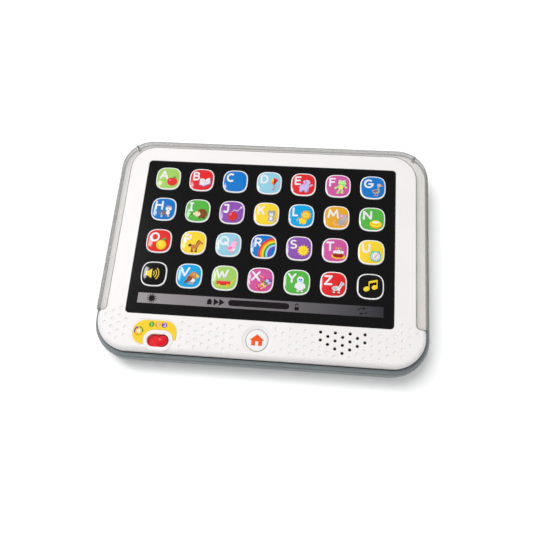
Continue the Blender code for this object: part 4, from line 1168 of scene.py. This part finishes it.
    "sound": [("shape", "yellow", .4, (-6.1, -1.7), (-4.2, -1.7), (-4.2, 1.7), (-6.1, 1.7)),
          ("shape", "yellow", .35, (-4.9, -1.5), (-1.4, -3.8), (-1.4, 3.8), (-4.9, 1.5)),
          ("bar", "amber", .3, (-4.3, -1.4), (-4.3, 1.4))]
         + [("arc", "yellow", .6, -1.6, 0, r, r * 1.05, -48, 48) for r in (2, 3.8, 5.6)],
    "music": [("shape", "yellow", .2, (-1.4, 1.9), (5, 3.6), (5, 5.3), (-1.4, 3.6)),
          ("bar", "yellow", .7, (-1.1, 3), (-1.1, -2.1)), ("bar", "yellow", .7, (4.7, 4.6), (4.7, -.6)),
          ("oval", "yellow", -2.9, -2.4, 2.3, 1.8, 18), ("oval", "yellow", 3, -.9, 2.2, 1.7, 18),
          ("oval", "lemon", -3.5, -2, .7, .4, 30), ("oval", "lemon", 2.4, -.5, .7, .4, 30)],
}


def keyPrint(name, x, y):
    marks = (letterMarks(name) if name in letters else []) + pictures.get(name, [])
    limit = keyShape["half"] - keyShape["border"] - 0.1
    layInk(f"keyPrint_{name}", marks, x, y, pillow, f"key_{name}_body", keySlot(keyLook[name]), limit)


# printed band of sliders and signs below the keys
# the strip's two greys are partly the print and partly painted reflection, lighter on the side the light
# comes from
strip = {"left": screen["x"] - 90.7, "right": screen["x"] + 90.9, "low": -50.15, "high": -42.25,
         "leftGrey": "868083", "rightGrey": "2b2c32", "tall": 0.06, "track": (22.55, 2.35), "sunk": 0.02}
arrow = ("shape", "black", .1, (-1.8, -2.7), (2.2, 0), (-1.8, 2.7))


def stripInkAndSheen():  # a printed grey that darkens from left to right, partly painted reflection of the light from the left
    left, right = paint(strip["leftGrey"]), paint(strip["rightGrey"])
    mat = mouldedPlastic("stripInkAndSheen", left, 0.3, bump=0.004)
    nodes, links = mat.node_tree.nodes, mat.node_tree.links
    split = nodes.new("ShaderNodeSeparateXYZ")
    across = setInputs(nodes.new("ShaderNodeMapRange"), From_Min=strip["left"] * mm,
                       From_Max=strip["right"] * mm)
    links.new(nodes["Texture Coordinate"].outputs["Object"], split.inputs["Vector"])
    links.new(split.outputs["X"], across.inputs["Value"])
    base = nodes["Principled BSDF"].inputs["Base Color"]
    mixColors(nodes, links, across.outputs["Result"], left, right, base)
    return mat


# each sign: its distance from the middle of the panel, then its marks
signs = (
    (-80.0, [("oval", "black", 0, 0, 2.3)]
     + [("bar", "black", .6, ray(0, 0, 2.5, 30 * i), ray(0, 0, 3.5, 30 * i)) for i in range(12)]),
    (-36.3, [("shape", "black", .1, (-1.8, -2.1), (1.6, -2.1), (1.6, .5), (-1.8, .5)),
             ("oval", "black", -.1, .5, 1.7)]),
    (-31.5, [arrow]),
    (-27.4, [arrow]),
    (28.2, [("shape", "black", .2, (-1.6, -2.6), (1.6, -2.6), (1.6, .1), (-1.6, .1)),
            ("arc", "black", .5, 0, .5, 1.15, 1.9, 15, 180)]),
    (75.7, [("arc", "black", .7, 0, 0, 3.2, 2.1, 175, 75), ("arc", "black", .7, 0, 0, 3.2, 2.1, -5, -105),
            ("shape", "black", .05, (.4, 3.2), (2.5, 2.0), (.4, .9)),
            ("shape", "black", .05, (-.4, -3.2), (-2.5, -2.0), (-.4, -.9))]),
)


def controlStrip():
    middle, half = (strip["left"] + strip["right"]) / 2, (strip["right"] - strip["left"]) / 2
    top, y = screenHigh.z + strip["tall"], (strip["low"] + strip["high"]) / 2
    corners = boxCorners(half, strip["low"], strip["high"], 0.3, middle=middle)
    plate = rawObject("controlStrip", slab(corners, screenHigh.z - 0.1, top, steps=3), [stripInkAndSheen()])
    finishPiece(plate, "housing", "black_panel")
    for i, (x, marks) in enumerate(signs):
        layInk(f"stripSign{i}", marks, screen["x"] + x, y, lambda x, y: top - strip["sunk"], "housing",
               "black_panel")
    half, tall = strip["track"]
    corners = boxCorners(half, y + 0.1 - tall, y + 0.1 + tall, tall - 0.05, middle=screen["x"] + 0.15)
    track = slab(corners, top - strip["sunk"], top + strip["sunk"])
    finishPiece(rawObject("stripTrack", track, [inkMats["black"]]), "housing", "black_panel")


# each number: its place, the ink of its disc, then its strokes
numbers = (
    (-78.3, -66.15, "leaf", [("bar", "white", .5, (-.5, .7), (.1, 1.2), (.1, -1.2))]),
    (-73.6, -66.05, "amber", [("arc", "white", .5, 0, .5, .75, .7, 170, -30),
                              ("bar", "white", .5, (.6, .2), (-.75, -1.15), (.85, -1.15))]),
    (-68.8, -66.15, "purple", [("arc", "white", .5, 0, .6, .7, .6, 150, -90),
                               ("arc", "white", .5, 0, -.6, .8, .65, 90, -150)]),
)
cycle = {"x": -87.3, "y": -71.55, "radius": 3.0, "stroke": 1.1,
         "inks": (("leaf", 90), ("amber", -30), ("purple", -150))}


def labelTop(x, y):
    return label["high"] - 0.02


def labelPrints():
    for i, (x, y, ink, strokes) in enumerate(numbers, 1):
        marks = [("oval", ink, 0, 0, 2.05)] + strokes
        layInk(f"labelNumber{i}", marks, x, y, labelTop, "housing", "label_yellow")
    marks, radius = [("oval", "white", 0, 0, 1.3)], cycle["radius"]
    for ink, start in cycle["inks"]:  # three arrows that chase each other round
        tip = [ray(0, 0, r, start - a) for r, a in ((1.9, 84), (3.0, 112), (4.2, 84))]
        marks += [("arc", ink, cycle["stroke"], 0, 0, radius, radius, start, start - 88),
                  ("shape", ink, .05, *tip)]
    layInk("labelCycle", marks, cycle["x"], cycle["y"], labelTop, "housing", "label_yellow")


house = [("shape", "homeOrange", .5, (-5.4, -.2), (0, 4.4), (5.4, -.2)),
         ("shape", "homeOrange", .4, (-3.9, -4.0), (3.9, -4.0), (3.9, .6), (-3.9, .6)),
         ("shape", "white", .3, (-1.1, -4.1), (1.1, -4.1), (1.1, -.9), (-1.1, -.9))]

for name, x, y in keyPlaces():
    keyPrint(name, x, y)
print("key prints ready")
controlStrip()
labelPrints()
layInk("homeMark", house, 0, home["y"], buttonTop, "home_button_body", "white_shell")
print("other prints ready")
